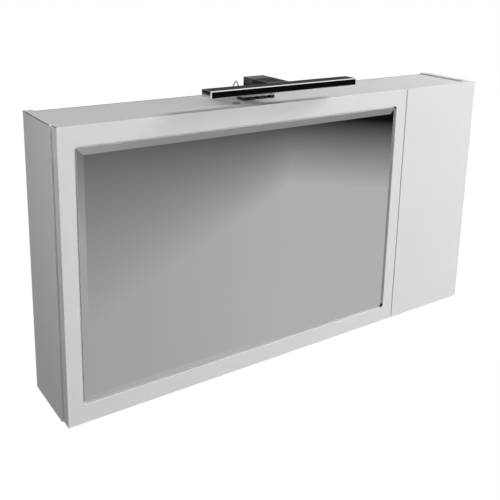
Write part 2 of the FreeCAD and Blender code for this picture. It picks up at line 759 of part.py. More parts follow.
FOOT_LEFT = LAMP_X - FOOT_WIDTH / 2
FOOT_RIGHT = LAMP_X + FOOT_WIDTH / 2
ARM_BOX_LEFT = LAMP_X - ARM_BOX_WIDTH / 2
ARM_BOX_RIGHT = LAMP_X + ARM_BOX_WIDTH / 2
TERMINAL_FRONT = TERMINAL_BOX_BACK - TERMINAL_BOX_LENGTH
LEAD_EXIT_Z = TOP_FACE + LEAD_EXIT_HEIGHT
LEAD_LOOP_Z = TOP + LEAD_LOOP_HEIGHT
LEAD_LOW_Z = INNER_TOP - LEAD_DROP
LEAD_POINTS = (
    (ARM_BOX_LEFT + FOOT_WALL + LEAD_TAIL, FOOT_FRONT + LEAD_EXIT_INSET, LEAD_EXIT_Z),
    (ARM_BOX_LEFT - LEAD_TURN_REACH, FOOT_FRONT - LEAD_TURN_FORWARD, LEAD_EXIT_Z),
    (LEAD_LOOP_X + LEAD_LOOP_SPREAD, LEAD_LOOP_Y + LEAD_LOOP_SKEW, LEAD_LOOP_Z - LEAD_LOOP_FALL),
    (LEAD_LOOP_X, LEAD_LOOP_Y, LEAD_LOOP_Z),
    (LEAD_LOOP_X - LEAD_LOOP_SPREAD, LEAD_LOOP_Y + LEAD_LOOP_SKEW, LEAD_LOOP_Z - LEAD_LOOP_FALL),
    (LEAD_X, LEAD_Y, TOP + LEAD_LANDING),
    (LEAD_X, LEAD_Y, LEAD_LOW_Z),
    (LEAD_X, TERMINAL_FRONT + TERMINAL_BOX_WALL, LEAD_LOW_Z),
)


def lead_path(points, bends):
    """Straight runs joined by tangent arcs of the given radii, as large as the runs leave room for."""
    stops = [FreeCAD.Vector(*point) for point in points]
    edges = []
    here = stops[0]
    for before, corner, after, radius in zip(stops, stops[1:], stops[2:], bends):
        into = (corner - before).normalize()
        out = (after - corner).normalize()
        turn = into.getAngle(out)
        cut = radius * math.tan(turn / 2)
        start = corner - into * cut
        end = corner + out * cut
        inward = (out - into).normalize()
        centre = corner + inward * (radius / math.cos(turn / 2))
        middle = centre - inward * radius
        edges.append(Part.LineSegment(here, start).toShape())
        edges.append(Part.Arc(start, middle, end).toShape())
        here = end
    edges.append(Part.LineSegment(here, stops[-1]).toShape())
    return Part.Wire(edges)


def lamp_lead():
    """The lead from the lamp's foot, in a loop, through the top panel to the terminal box."""
    path = lead_path(LEAD_POINTS, LEAD_BENDS)
    start = FreeCAD.Vector(*LEAD_POINTS[0])
    way = FreeCAD.Vector(*LEAD_POINTS[1]) - start
    section = Part.Wire(Part.makeCircle(LEAD_R, start, way))
    tube = path.makePipeShell([section], True, False)
    share = tube.Volume / (math.pi * LEAD_R ** 2 * path.Length)
    print("lamp lead length", round(path.Length, 1), "volume against section times length", round(share, 4))
    return tube


def lead_holes():
    """The ways of the lead through the foot, the grommet and the terminal box."""
    holes = []
    for a, b in (LEAD_POINTS[:2], LEAD_POINTS[-3:-1], LEAD_POINTS[-2:]):
        holes.append(rod(LEAD_R + FIT, a, b))
    return holes


def top_grommet():
    """The rubber grommet in the top panel round the lead."""
    sleeve = rod(GROMMET_R, (LEAD_X, LEAD_Y, INNER_TOP), (LEAD_X, LEAD_Y, TOP_FACE))
    lip = rod(GROMMET_LIP_R, (LEAD_X, LEAD_Y, TOP_FACE), (LEAD_X, LEAD_Y, TOP_FACE + GROMMET_LIP))
    return cut_all(join(sleeve, lip), lead_holes())


BAR_SCREW_LEVEL = LAMP_TOP_Z - BAR_WALL - BAR_SCREW_HEAD_R - SEAT_GAP


def bar_screw_places():
    """X places of the screws between bar and arm."""
    return (LAMP_X - BAR_SCREW_SPACING / 2, LAMP_X + BAR_SCREW_SPACING / 2)


def bar_screws():
    """The screws from inside the bar into the arm."""
    z = BAR_SCREW_LEVEL
    y = BAR_BACK - BAR_WALL
    size = (BAR_SCREW_HEAD_R, BAR_SCREW_HEAD, BAR_SCREW_R, BAR_SCREW_LENGTH)
    return [screw((x, y, z), (0, 1, 0), *size) for x in bar_screw_places()]


def bar_screw_holes():
    """The holes of the screws between bar and arm."""
    z = BAR_SCREW_LEVEL
    y = BAR_BACK - BAR_WALL
    return [drill_for(BAR_SCREW_R, (x, y, z), (x, y + BAR_SCREW_LENGTH, z)) for x in bar_screw_places()]


BAR_LEFT = LAMP_X - BAR_LENGTH / 2
BAR_RIGHT = LAMP_X + BAR_LENGTH / 2
BAR_BOTTOM = LAMP_TOP_Z - BAR_HEIGHT


def bar_block(left, right):
    """A length of the bar's outside, with a wide bevel along its upper front edge."""
    outline = [(BAR_FRONT + BAR_CHAMFER, LAMP_TOP_Z), (BAR_BACK - BAR_ARRIS, LAMP_TOP_Z),
               (BAR_BACK, LAMP_TOP_Z - BAR_ARRIS), (BAR_BACK, BAR_BOTTOM),
               (BAR_FRONT + BAR_ARRIS, BAR_BOTTOM), (BAR_FRONT, BAR_BOTTOM + BAR_ARRIS),
               (BAR_FRONT, LAMP_TOP_Z - BAR_CHAMFER)]
    corners = [FreeCAD.Vector(left, y, z) for y, z in outline]
    return Part.Face(Part.makePolygon(corners + corners[:1])).extrude(FreeCAD.Vector(right - left, 0, 0))


def bar_housing():
    """The channel of the lamp bar, open below."""
    left = BAR_LEFT + END_CAP_THICKNESS
    right = BAR_RIGHT - END_CAP_THICKNESS
    hollow = box(left, right, BAR_FRONT + BAR_FRONT_WALL, BAR_BACK - BAR_WALL,
                 BAR_BOTTOM, LAMP_TOP_Z - BAR_WALL)
    return bar_block(left, right).cut([hollow] + bar_screw_holes()).removeSplitter()


def cap_bevel(outer, inwards):
    """What the upright bevel takes off the front edge of an end cap."""
    reach = inwards * BAR_CHAMFER
    outline = [(outer, BAR_FRONT), (outer, BAR_FRONT + BAR_CHAMFER), (outer + reach, BAR_FRONT)]
    corners = [FreeCAD.Vector(x, y, BAR_BOTTOM) for x, y in outline]
    return Part.Face(Part.makePolygon(corners + corners[:1])).extrude(FreeCAD.Vector(0, 0, BAR_HEIGHT))


def end_caps():
    """The end caps: each covers the upper part of the bar's end and leaves the diffuser's end to show."""
    caps = []
    for outer, inwards in ((BAR_LEFT, 1), (BAR_RIGHT, -1)):
        inner = outer + inwards * END_CAP_THICKNESS
        window_top = LAMP_TOP_Z - END_CAP_HEIGHT
        window = box(outer, inner, BAR_FRONT + BAR_FRONT_WALL, BAR_BACK - BAR_WALL, BAR_BOTTOM, window_top)
        caps.append(cut_all(bar_block(outer, inner), [window, cap_bevel(outer, inwards)]))
    return caps


def diffuser():
    """The opal strip that closes the bar below and reaches through the end caps."""
    front = BAR_FRONT + BAR_FRONT_WALL + FIT
    back = BAR_BACK - BAR_WALL - FIT
    low = BAR_BOTTOM + DIFFUSER_RECESS
    return box(BAR_LEFT, BAR_RIGHT, front, back, low, low + DIFFUSER_THICKNESS)


def led_board():
    """The board under the top wall of the bar."""
    mid = (BAR_FRONT + BAR_BACK) / 2
    high = LAMP_TOP_Z - BAR_WALL
    half = LED_BOARD_WIDTH / 2
    left = BAR_LEFT + END_CAP_THICKNESS
    right = BAR_RIGHT - END_CAP_THICKNESS
    return box(left, right, mid - half, mid + half, high - LED_BOARD_THICKNESS, high)


def leds():
    """The row of light-emitting chips on the board."""
    mid = (BAR_FRONT + BAR_BACK) / 2
    high = LAMP_TOP_Z - BAR_WALL - LED_BOARD_THICKNESS
    pitch = BAR_LENGTH / LED_COUNT
    half = LED_SIZE / 2
    made = []
    for index in range(LED_COUNT):
        x = BAR_LEFT + pitch * (index + 0.5)
        made.append(box(x - half, x + half, mid - half, mid + half, high - LED_HEIGHT, high))
    return made


def arm_hollow(low, high):
    """The space inside the lamp arm between two heights."""
    left = ARM_BOX_LEFT + ARM_BOX_WALL
    right = ARM_BOX_RIGHT - ARM_BOX_WALL
    return box(left, right, BAR_BACK + ARM_BOX_FRONT_WALL, ARM_BOX_BACK - ARM_BOX_WALL, low, high)


def arm_cover():
    """The upper shell of the lamp arm."""
    body = box(ARM_BOX_LEFT, ARM_BOX_RIGHT, BAR_BACK, ARM_BOX_BACK, COVER_BOTTOM, LAMP_TOP_Z)
    hollow = arm_hollow(COVER_BOTTOM, LAMP_TOP_Z - ARM_BOX_WALL)
    return body.cut([hollow] + bar_screw_holes()).removeSplitter()


def tray_screw_places():
    """Places of the screws that hold the arm's tray to the foot."""
    y = (FOOT_FRONT + ARM_BOX_BACK) / 2
    return [(LAMP_X + dx, y) for dx in (-TRAY_SCREW_SPACING / 2, TRAY_SCREW_SPACING / 2)]


def tray_screws():
    """The screws from inside the tray into the foot."""
    z = TRAY_BOTTOM + ARM_BOX_WALL
    size = (BAR_SCREW_HEAD_R, BAR_SCREW_HEAD, BAR_SCREW_R, BAR_SCREW_LENGTH)
    return [screw((x, y, z), (0, 0, -1), *size) for x, y in tray_screw_places()]


def tray_screw_holes():
    """The holes of the tray screws."""
    z = TRAY_BOTTOM + ARM_BOX_WALL
    return [drill_for(BAR_SCREW_R, (x, y, z), (x, y, z - BAR_SCREW_LENGTH)) for x, y in tray_screw_places()]


def arm_tray():
    """The lower shell of the lamp arm, with standoffs for the driver board."""
    body = box(ARM_BOX_LEFT, ARM_BOX_RIGHT, BAR_BACK, ARM_BOX_BACK, TRAY_BOTTOM, COVER_BOTTOM)
    floor = TRAY_BOTTOM + ARM_BOX_WALL
    shell = body.cut(arm_hollow(floor, COVER_BOTTOM))
    posts = [rod(DRIVER_STANDOFF_R, (x, y, floor), (x, y, DRIVER_LEVEL)) for x, y in driver_corners()]
    return join(shell, *posts).cut(tray_screw_holes()).removeSplitter()


DRIVER_LEFT = ARM_BOX_LEFT + ARM_BOX_WALL + DRIVER_EDGE_GAP
DRIVER_RIGHT = ARM_BOX_RIGHT - ARM_BOX_WALL - DRIVER_EDGE_GAP
DRIVER_FRONT = BAR_BACK + ARM_BOX_FRONT_WALL + DRIVER_EDGE_GAP
DRIVER_BACK = ARM_BOX_BACK - ARM_BOX_WALL - DRIVER_EDGE_GAP
DRIVER_LEVEL = TRAY_BOTTOM + ARM_BOX_WALL + DRIVER_STANDOFF


def driver_corners():
    """Places of the driver board's standoffs."""
    xs = (DRIVER_LEFT + DRIVER_STANDOFF_EDGE, DRIVER_RIGHT - DRIVER_STANDOFF_EDGE)
    ys = (DRIVER_FRONT + DRIVER_STANDOFF_EDGE, DRIVER_BACK - DRIVER_STANDOFF_EDGE)
    return [(x, y) for x in xs for y in ys]


def driver_board():
    """The lamp's driver: a board with its transformer, choke and terminal as blocks."""
    top = DRIVER_LEVEL + DRIVER_BOARD_THICKNESS
    board = box(DRIVER_LEFT, DRIVER_RIGHT, DRIVER_FRONT, DRIVER_BACK, DRIVER_LEVEL, top)
    places = spread(len(DRIVER_BLOCKS), DRIVER_FRONT + DRIVER_BLOCK_INSET, DRIVER_BACK - DRIVER_BLOCK_INSET)
    blocks = []
    for y, (width, length, height) in zip(places, DRIVER_BLOCKS):
        x0 = LAMP_X - width / 2
        blocks.append(box(x0, x0 + width, y - length / 2, y + length / 2, top, top + height))
    return join(board, *blocks)


def foot_screw_places():
    """Places of the two screws that hold the foot to the top panel."""
    y = (FOOT_FRONT + FOOT_BACK) / 2
    return [(FOOT_LEFT + FOOT_SCREW_INSET, y), (FOOT_RIGHT - FOOT_SCREW_INSET, y)]


def foot_screws():
    """The screws that hold the foot to the top panel."""
    length = FOOT_SEAT - TOP_FACE + FOOT_SCREW_DEPTH
    size = (FOOT_SCREW_HEAD_R, FOOT_SCREW_HEAD, FOOT_SCREW_R, length)
    return [screw((x, y, FOOT_SEAT), (0, 0, -1), *size) for x, y in foot_screw_places()]


def foot_screw_holes():
    """The holes of the foot's screws."""
    low = TOP_FACE - FOOT_SCREW_DEPTH
    return [drill_for(FOOT_SCREW_R, (x, y, FOOT_SEAT), (x, y, low)) for x, y in foot_screw_places()]


def lamp_foot():
    """The foot: a plate with an ear at each side, and a hollow block on it that carries the arm."""
    plate = box(FOOT_LEFT, FOOT_RIGHT, FOOT_FRONT, FOOT_BACK, FOOT_LOW, FOOT_SEAT)
    block = box(ARM_BOX_LEFT, ARM_BOX_RIGHT, FOOT_FRONT, FOOT_BACK, FOOT_LOW, TRAY_BOTTOM)
    hollow = box(ARM_BOX_LEFT + FOOT_WALL, ARM_BOX_RIGHT - FOOT_WALL, FOOT_FRONT + FOOT_WALL,
                 FOOT_BACK - FOOT_WALL, FOOT_LOW, TRAY_BOTTOM - BAR_SCREW_LENGTH)
    cuts = [hollow] + foot_screw_holes() + tray_screw_holes() + lead_holes()[:1]
    return join(plate, block).cut(cuts).removeSplitter()


def foot_pads():
    """The pads between the foot and the top panel."""
    pads = []
    for left, right in FOOT_PADS:
        pad = box(LAMP_X + left, LAMP_X + right, FOOT_FRONT, FOOT_BACK, TOP_FACE, FOOT_LOW)
        pads.append(cut_all(pad, foot_screw_holes()))
    return pads


# Terminal box under the top panel

TERMINAL_LEFT = LEAD_X - TERMINAL_BOX_WIDTH / 2
TERMINAL_RIGHT = LEAD_X + TERMINAL_BOX_WIDTH / 2
TERMINAL_LID = INNER_TOP - TERMINAL_BOX_HEIGHT


def cable_entry():
    """The way of the supply cable through the back panel, the rail and the back of the terminal box."""
    z = (INNER_TOP + TERMINAL_LID) / 2
    return rod(CABLE_ENTRY_R, (LEAD_X, FIT, z), (LEAD_X, TERMINAL_BOX_BACK - TERMINAL_BOX_WALL - FIT, z))


def terminal_box():
    """The box under the top panel, open below until its lid is on."""
    lid_top = TERMINAL_LID + TERMINAL_BOX_WALL
    body = box(TERMINAL_LEFT, TERMINAL_RIGHT, TERMINAL_FRONT, TERMINAL_BOX_BACK, lid_top, INNER_TOP)
    wall = TERMINAL_BOX_WALL
    hollow = box(TERMINAL_LEFT + wall, TERMINAL_RIGHT - wall, TERMINAL_FRONT + wall, TERMINAL_BOX_BACK - wall,
                 lid_top, INNER_TOP - wall)
    return cut_all(body.cut(hollow), lead_holes() + [cable_entry()])


def terminal_lid():
    """The lid of the terminal box."""
    return box(TERMINAL_LEFT, TERMINAL_RIGHT, TERMINAL_FRONT, TERMINAL_BOX_BACK, TERMINAL_LID,
               TERMINAL_LID + TERMINAL_BOX_WALL)


def terminal_strip():
    """The row of terminals inside the box, one block for each pole on a common bar."""
    width = TERMINAL_POLES * TERMINAL_POLE_WIDTH
    mid = (TERMINAL_FRONT + TERMINAL_BOX_BACK) / 2
    top = INNER_TOP - TERMINAL_BOX_WALL
    low = top - TERMINAL_POLE_HEIGHT
    half = TERMINAL_POLE_LENGTH / 2
    left = LEAD_X - width / 2
    body = box(left, left + width, mid - half, mid + half, low, top)
    ways = []
    for index in range(TERMINAL_POLES):
        x = left + TERMINAL_POLE_WIDTH * (index + 0.5)
        z = (low + top) / 2
        ways.append(rod(TERMINAL_WAY_R, (x, mid - half, z), (x, mid + half, z)))
    return body.cut(ways)


# Doors

def mirror_door(holes):
    """The framed door: one board with a routed pocket for the mirror."""
    board = box(MIRROR_DOOR_LEFT, MIRROR_DOOR_RIGHT, DOOR_FRONT, DOOR_BACK, BOTTOM, TOP)
    board = round_front_edges(board, DOOR_ROUND, DOOR_FRONT)
    pocket = rounded_plate(MIRROR_DOOR_LEFT + STILE_WIDTH, MIRROR_DOOR_RIGHT - STILE_WIDTH, DOOR_FRONT - FIT,
                           POCKET_FLOOR, BOTTOM + RAIL_WIDTH, TOP - RAIL_WIDTH, POCKET_CORNER_R)
    return cut_all(board, [pocket] + holes)


def side_door(holes):
    """The plain narrow door."""
    board = box(SIDE_DOOR_LEFT, SIDE_DOOR_RIGHT, DOOR_FRONT, DOOR_BACK, BOTTOM, TOP)
    return cut_all(round_front_edges(board, DOOR_ROUND, DOOR_FRONT), holes)


GLASS_LEFT = MIRROR_DOOR_LEFT + STILE_WIDTH + GLASS_MARGIN
GLASS_RIGHT = MIRROR_DOOR_RIGHT - STILE_WIDTH - GLASS_MARGIN
GLASS_BOTTOM = BOTTOM + RAIL_WIDTH + GLASS_MARGIN
GLASS_TOP = TOP - RAIL_WIDTH - GLASS_MARGIN
GLASS_BACK = POCKET_FLOOR - TAPE_THICKNESS
GLASS_FRONT = GLASS_BACK - GLASS_THICKNESS


def glass_outline(y, inset):
    """A rectangle of the mirror at one depth."""
    xs = (GLASS_LEFT + inset, GLASS_RIGHT - inset)
    zs = (GLASS_BOTTOM + inset, GLASS_TOP - inset)
    corners = [(xs[0], zs[0]), (xs[1], zs[0]), (xs[1], zs[1]), (xs[0], zs[1])]
    points = [FreeCAD.Vector(x, y, z) for x, z in corners]
    return Part.makePolygon(points + points[:1])


def mirror_glass():
    """The mirror with a bevel along all four edges."""
    bevel_foot = GLASS_FRONT + BEVEL_DEPTH
    slab = box(GLASS_LEFT, GLASS_RIGHT, bevel_foot, GLASS_BACK, GLASS_BOTTOM, GLASS_TOP)
    outlines = [glass_outline(bevel_foot, 0.0), glass_outline(GLASS_FRONT, BEVEL_WIDTH)]
    crown = Part.makeLoft(outlines, True, True)
    return join(slab, crown)


def mounting_tape():
    """Strips of double-sided foam tape between the mirror and the pocket floor."""
    low = GLASS_BOTTOM + TAPE_END_MARGIN
    high = GLASS_TOP - TAPE_END_MARGIN
    half = TAPE_WIDTH / 2
    places = spread(TAPE_STRIPS, GLASS_LEFT + TAPE_END_MARGIN, GLASS_RIGHT - TAPE_END_MARGIN)
    return [box(x - half, x + half, GLASS_BACK, POCKET_FLOOR, low, high) for x in places]


# Carcass

def side_panel(outer, inner, holes):
    """One side, with the rebate for the back panel."""
    panel = box(outer, inner, FRONT, 0, BOTTOM, TOP)
    inwards = math.copysign(1, inner - outer)
    rebate = box(outer + inwards * BACK_REBATE, inner, PANEL_BACK, 0, BOTTOM_FACE, TOP_FACE)
    return cut_all(panel, [rebate] + holes)


def flat_panel(low, high, holes):
    """The top or the bottom panel, between the sides."""
    return cut_all(box(INNER_LEFT, INNER_RIGHT, FRONT, PANEL_BACK, low, high), holes)


def divider(holes):
    """The upright between the two spaces, notched for the mounting rail."""
    panel = box(DIVIDER_LEFT, DIVIDER_RIGHT, FRONT, PANEL_BACK, INNER_BOTTOM, INNER_TOP)
    notch_front = PANEL_BACK - RAIL_THICKNESS - SEAT_GAP
    notch = box(DIVIDER_LEFT, DIVIDER_RIGHT, notch_front, PANEL_BACK, -RAIL_HEIGHT / 2 - SEAT_GAP, INNER_TOP)
    return cut_all(panel, [notch] + holes)


def back_panel(holes):
    """The thin back panel in the rebates of the sides."""
    edge = RIGHT - BACK_REBATE - FIT
    return cut_all(box(-edge, edge, PANEL_BACK, 0, BOTTOM_FACE, TOP_FACE), holes)


def mounting_rail(holes):
    """The rail inside the top of the back, which the wall screws go through."""
    half = RAIL_HEIGHT / 2
    return cut_all(box(INNER_LEFT, INNER_RIGHT, PANEL_BACK, PANEL_BACK - RAIL_THICKNESS, -half, half), holes)


def wall_screw_holes():
    """The holes of the wall screws through the rail and the back panel."""
    end = PANEL_BACK - RAIL_THICKNESS - FIT
    places = (LEFT + WALL_SCREW_FROM_SIDE, RIGHT - WALL_SCREW_FROM_SIDE)
    return [rod(WALL_SCREW_HOLE_R, (x, FIT, 0), (x, end, 0)) for x in places]


def write_carcass(hinges):
    """Writes the carcass panels, their joining pieces, the shelves and the pins."""
    dowel_ends = panel_dowels() + rail_dowels()
    pin_ends = shelf_pin_ends()
    cams = [cam_pieces(*joint) for joint in cam_joints()]
    holes = [drill_for(DOWEL_R, *ends) for ends in dowel_ends]
    holes += [drill_for(SHELF_PIN_R, *ends) for ends in pin_ends]
    holes += [hole for cam in cams for hole in cam[2]]
    holes += [nail_hole(x, z) for x, z in back_nails()]
    holes += [hole for hinge in hinges for hole in plate_screw_holes(hinge)]
    holes += [hole for latch in LATCHES.values() for hole in latch_screw_holes(latch)]
    holes += foot_screw_holes() + wall_screw_holes() + [cable_entry()]
    holes.append(rod(GROMMET_R + FIT, (LEAD_X, LEAD_Y, INNER_TOP - FIT), (LEAD_X, LEAD_Y, TOP_FACE + FIT)))
    write("left_side_panel", [side_panel(LEFT, INNER_LEFT, holes)])
    write("right_side_panel", [side_panel(RIGHT, INNER_RIGHT, holes)])
    write("top_panel", [flat_panel(INNER_TOP, TOP_FACE, holes)])
    write("bottom_panel", [flat_panel(BOTTOM_FACE, INNER_BOTTOM, holes)])
    write("divider_panel", [divider(holes)])
    write("back_panel", [back_panel(holes)])
    write("mounting_rail", [mounting_rail(holes)])
    write("wooden_dowels", [rod(DOWEL_R, *ends) for ends in dowel_ends])
    write("cam_bolts", [cam[0] for cam in cams])
    write("cam_discs", [cam[1] for cam in cams])
    write("back_panel_nails", [nail(x, z) for x, z in back_nails()])
    write("shelf_pins", [rod(SHELF_PIN_R, *ends) for ends in pin_ends])
    for space, limits in shelf_spaces().items():
        write(space + "_space_shelves", shelves(*limits))


def write_doors(hinges):
    """Writes the doors, the mirror and all hinge pieces."""
    boards = {"mirror_door": mirror_door, "side_door": side_door}
    for door, board in boards.items():
        own = hinges[door]
        holes = [cup_pocket(hinge) for hinge in own]
        holes += [hole for hinge in own for hole in cup_screw_holes(hinge)]
        write(door + "_panel", [board(holes)])
        write(door + "_hinge_cups", [hinge_cup(hinge) for hinge in own])
        write(door + "_hinge_pins", [hinge_pin(hinge) for hinge in own])
        write(door + "_hinge_arms", [hinge_arm(hinge) for hinge in own])
        write(door + "_hinge_plates", [hinge_plate(hinge) for hinge in own])
        write(door + "_cup_screws", [piece for hinge in own for piece in cup_screws(hinge)])
        fixings = [piece for hinge in own for piece in plate_screws(hinge)]
        write(door + "_plate_screws", fixings + [arm_screw(hinge) for hinge in own])
    write("mirror_glass", [mirror_glass()])
    write("mirror_mounting_tape", mounting_tape())


def write_latches():
    """Writes the push latches."""
    for name, latch in LATCHES.items():
        write(name + "_latch_housing", [latch_housing(latch)])
        write(name + "_latch_plunger", [latch_plunger(latch)])
        write(name + "_latch_magnet", [latch_magnet(latch)])
        write(name + "_latch_spring", [latch_spring(latch)])
        write(name + "_strike_plate", [strike_plate(latch)])
    write("latch_screws", [piece for latch in LATCHES.values() for piece in latch_screws(latch)])


def write_lamp():
    """Writes the lamp, its lead and the terminal box."""
    write("lamp_bar_housing", [bar_housing()])
    write("lamp_end_caps", end_caps())
    write("lamp_diffuser", [diffuser()])
    write("lamp_led_board", [led_board()])
    write("lamp_leds", leds())
    write("lamp_arm_cover", [arm_cover()])
    write("lamp_arm_tray", [arm_tray()])
    write("lamp_driver_board", [driver_board()])
    write("lamp_bar_screws", bar_screws() + tray_screws())
    write("lamp_foot", [lamp_foot()])
    write("lamp_foot_pads", foot_pads())
    write("lamp_foot_screws", foot_screws())
    write("lamp_lead", [lamp_lead()])
    write("lead_grommet", [top_grommet()])
    write("terminal_box", [terminal_box()])
    write("terminal_box_lid", [terminal_lid()])
    write("terminal_strip", [terminal_strip()])


os.makedirs("parts", exist_ok=True)
hinges_by_door = door_hinges()
write_carcass([hinge for own in hinges_by_door.values() for hinge in own])
write_doors(hinges_by_door)
write_latches()
write_lamp()
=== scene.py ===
"""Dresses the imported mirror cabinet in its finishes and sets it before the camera.

The cabinet hangs on a wall that isn't shown. X runs along its width, Y towards the wall and Z up, in metres.
Boards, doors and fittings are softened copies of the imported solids. Screws, nails and cams are repeated by
node trees. The mirror is modelled with its ground bevel.
"""

import logging
import math
from dataclasses import dataclass, field
from enum import Enum
from typing import Any, Iterable, Sequence

import bmesh
import bpy
from mathutils import Euler, Matrix, Vector


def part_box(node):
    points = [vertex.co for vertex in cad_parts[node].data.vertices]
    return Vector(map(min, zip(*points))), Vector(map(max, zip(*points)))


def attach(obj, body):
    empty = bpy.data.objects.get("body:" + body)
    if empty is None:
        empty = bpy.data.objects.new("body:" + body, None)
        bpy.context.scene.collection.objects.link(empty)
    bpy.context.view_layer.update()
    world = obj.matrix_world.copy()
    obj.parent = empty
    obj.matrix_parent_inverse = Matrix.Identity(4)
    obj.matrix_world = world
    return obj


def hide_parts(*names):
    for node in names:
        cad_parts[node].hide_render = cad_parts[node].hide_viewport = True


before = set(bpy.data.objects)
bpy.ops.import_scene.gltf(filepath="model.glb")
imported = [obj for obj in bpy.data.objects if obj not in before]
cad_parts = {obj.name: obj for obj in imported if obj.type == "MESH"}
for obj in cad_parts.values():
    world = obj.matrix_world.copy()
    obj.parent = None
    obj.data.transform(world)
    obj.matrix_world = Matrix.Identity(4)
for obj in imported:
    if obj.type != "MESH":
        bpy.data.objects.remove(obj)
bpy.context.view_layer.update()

LOG = logging.getLogger("mirror_cabinet")

MM = 0.001
MERGE_DISTANCE = 0.005 * MM
FLAT_ANGLE = math.radians(0.4)
SHARP_ANGLE = math.radians(32.0)
CORNER_ANGLE = math.radians(60.0)
ARRIS_SEGMENTS = 3
UNROUNDED = 1.0
DEEP_SHARE = 0.99
FACING_SHARE = 0.5
# How slanted and how large a rounded face must be to take the near-black painted edge shade.
EDGE_SHADE_SLANT = 0.2
EDGE_SHADE_AREA = 3.0 * MM * MM
SHANK_SIDES = 12
DISC_SIDES = 40
DOME_SEGMENTS = 24
DOME_RINGS = 12
CUTTER_SPAN = 4.0
SLOT_REACH = 1.15
ORDER_DIGITS = 5
BUMP_STRENGTH = 0.6
SENSOR = 36.0

Colour = tuple[float, float, float]
Place = tuple[float, float, float]
Span = tuple[float, float]
Pair = Sequence[Any]
Socket = bpy.types.NodeSocket

UNIT: Span = (0.0, 1.0)
PATTERN_SPAN: Span = (0.3, 0.7)
EVEN: Place = (1.0, 1.0, 1.0)


class Facing(Enum):
    """The way that a head or a face points, as the turn in degrees that brings +Z there."""

    BACK = (-90.0, 0.0, 0.0)
    RIGHT = (0.0, 90.0, 0.0)
    LEFT = (0.0, -90.0, 0.0)
    UP = (0.0, 0.0, 0.0)
    DOWN = (180.0, 0.0, 0.0)

    @property
    def turn(self) -> Place:
        """The turn in radians."""
        return tuple(math.radians(angle) for angle in self.value)

    @property
    def way(self) -> Vector:
        """The direction as a unit vector."""
        return Euler(self.turn).to_matrix() @ Vector((0.0, 0.0, 1.0))


class HeadShape(Enum):
    """The head of a fastener: domed on its seat, or a flat disc sunk flush into it."""

    DOMED = "domed"
    FLUSH = "flush"


class Runs(Enum):
    """The edges of a board that are rounded: all of them, or those from front to back."""

    ANY = "any"
    DEEP = "deep"


class Side(Enum):
    """The left or right of the cabinet, as the sign of X there."""

    LEFT = -1.0
    RIGHT = 1.0


class Slope(Enum):
    """How a ramp goes from its start to its end."""

    STRAIGHT = "LINEAR"
    SOFT = "SMOOTHSTEP"


Seat = tuple[Vector, Facing, float]


@dataclass(frozen=True)
class Box:
    """A box along the axes."""

    low: Vector
    high: Vector

    @classmethod
    def of(cls, node: str) -> "Box":
        """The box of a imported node."""
        return cls(*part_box(node))

    @property
    def size(self) -> Vector:
        """The lengths of the sides."""
        return self.high - self.low

    @property
    def centre(self) -> Vector:
        """The middle point."""
        return (self.low + self.high) / 2

    def face_centre(self, facing: Facing) -> Vector:
        """The middle of the face that points that way."""
        way = facing.way
        return self.centre + Vector(w * s / 2 for w, s in zip(way, self.size))


class NodeSheet:
    """A node tree with short calls that add nodes and wire them."""

    def __init__(self, tree: bpy.types.NodeTree) -> None:
        """Starts on an emptied tree."""
        self.tree = tree
        tree.nodes.clear()

    def add(self, kind: str, feeds: dict[Any, Any] | None = None, **settings: Any) -> bpy.types.Node:
        """Adds one node.

        Args:
            kind: the node's type name.
            feeds: a value or an output socket for each input, by name or number.
            settings: the node's own properties.

        Returns:
            The node.
        """
        node = self.tree.nodes.new(kind)
        for name, value in settings.items():
            setattr(node, name, value)
        for key, value in (feeds or {}).items():
            self.feed(node.inputs[key], value)
        return node

    def feed(self, target: Socket, value: Any) -> None:
        """Wires an output socket to an input, or sets the input's own value.

        Args:
            target: the input.
            value: the output socket or the plain value.
        """
        if isinstance(value, Socket):
            self.tree.links.new(value, target)
        else:
            target.default_value = value

    def math(self, operation: str, *values: Any) -> Socket:
        """The result of a math node."""
        return self.add("ShaderNodeMath", dict(enumerate(values)), operation=operation).outputs[0]

    def vector(self, *parts: Any) -> Socket:
        """A vector of three values."""
        return self.add("ShaderNodeCombineXYZ", dict(enumerate(parts))).outputs[0]

    def ramp(self, value: Any, source: Pair, target: Pair, slope: Slope = Slope.STRAIGHT) -> Socket:
        """Carries a value from one span over to another, and no further."""
        ends = dict(zip(("Value", "From Min", "From Max", "To Min", "To Max"), (value, *source, *target)))
        return self.add("ShaderNodeMapRange", ends, interpolation_type=slope.value).outputs[0]

    def moved(self, shape: Socket, how: str, amount: Any) -> Socket:
        """Shifts or stretches geometry, where how is Translation or Scale."""
        return self.add("GeometryNodeTransform", {"Geometry": shape, how: amount}).outputs[0]

    def carried(self, name: str) -> Socket:
        """A vector that the points carry."""
        kind = "GeometryNodeInputNamedAttribute"
        return self.add(kind, {"Name": name}, data_type="FLOAT_VECTOR").outputs[0]

    def seen(self) -> Socket:
        """One for what the eye sees, straight or through glass, and nought for other rays."""
        path = self.add("ShaderNodeLightPath").outputs
        return self.math("MAXIMUM", path["Is Camera Ray"], path["Is Transmission Ray"])


@dataclass(frozen=True)
class Pattern:
    """A noise pattern that lies still on a piece: the size of its patches, its octaves and its squeeze."""

    size: float
    detail: float = 3.0
    squeeze: Place = EVEN

    def value(self, sheet: NodeSheet) -> Socket:
        """Adds the pattern's nodes.

        Args:
            sheet: the material's node tree.

        Returns:
            The pattern's value.
        """
        place = sheet.add("ShaderNodeTexCoord").outputs["Object"]
        if self.squeeze != EVEN:
            place = sheet.add("ShaderNodeMapping", {"Vector": place, "Scale": self.squeeze}).outputs[0]
        feeds = {"Vector": place, "Scale": 1.0 / self.size, "Detail": self.detail}
        return sheet.add("ShaderNodeTexNoise", feeds).outputs[0]


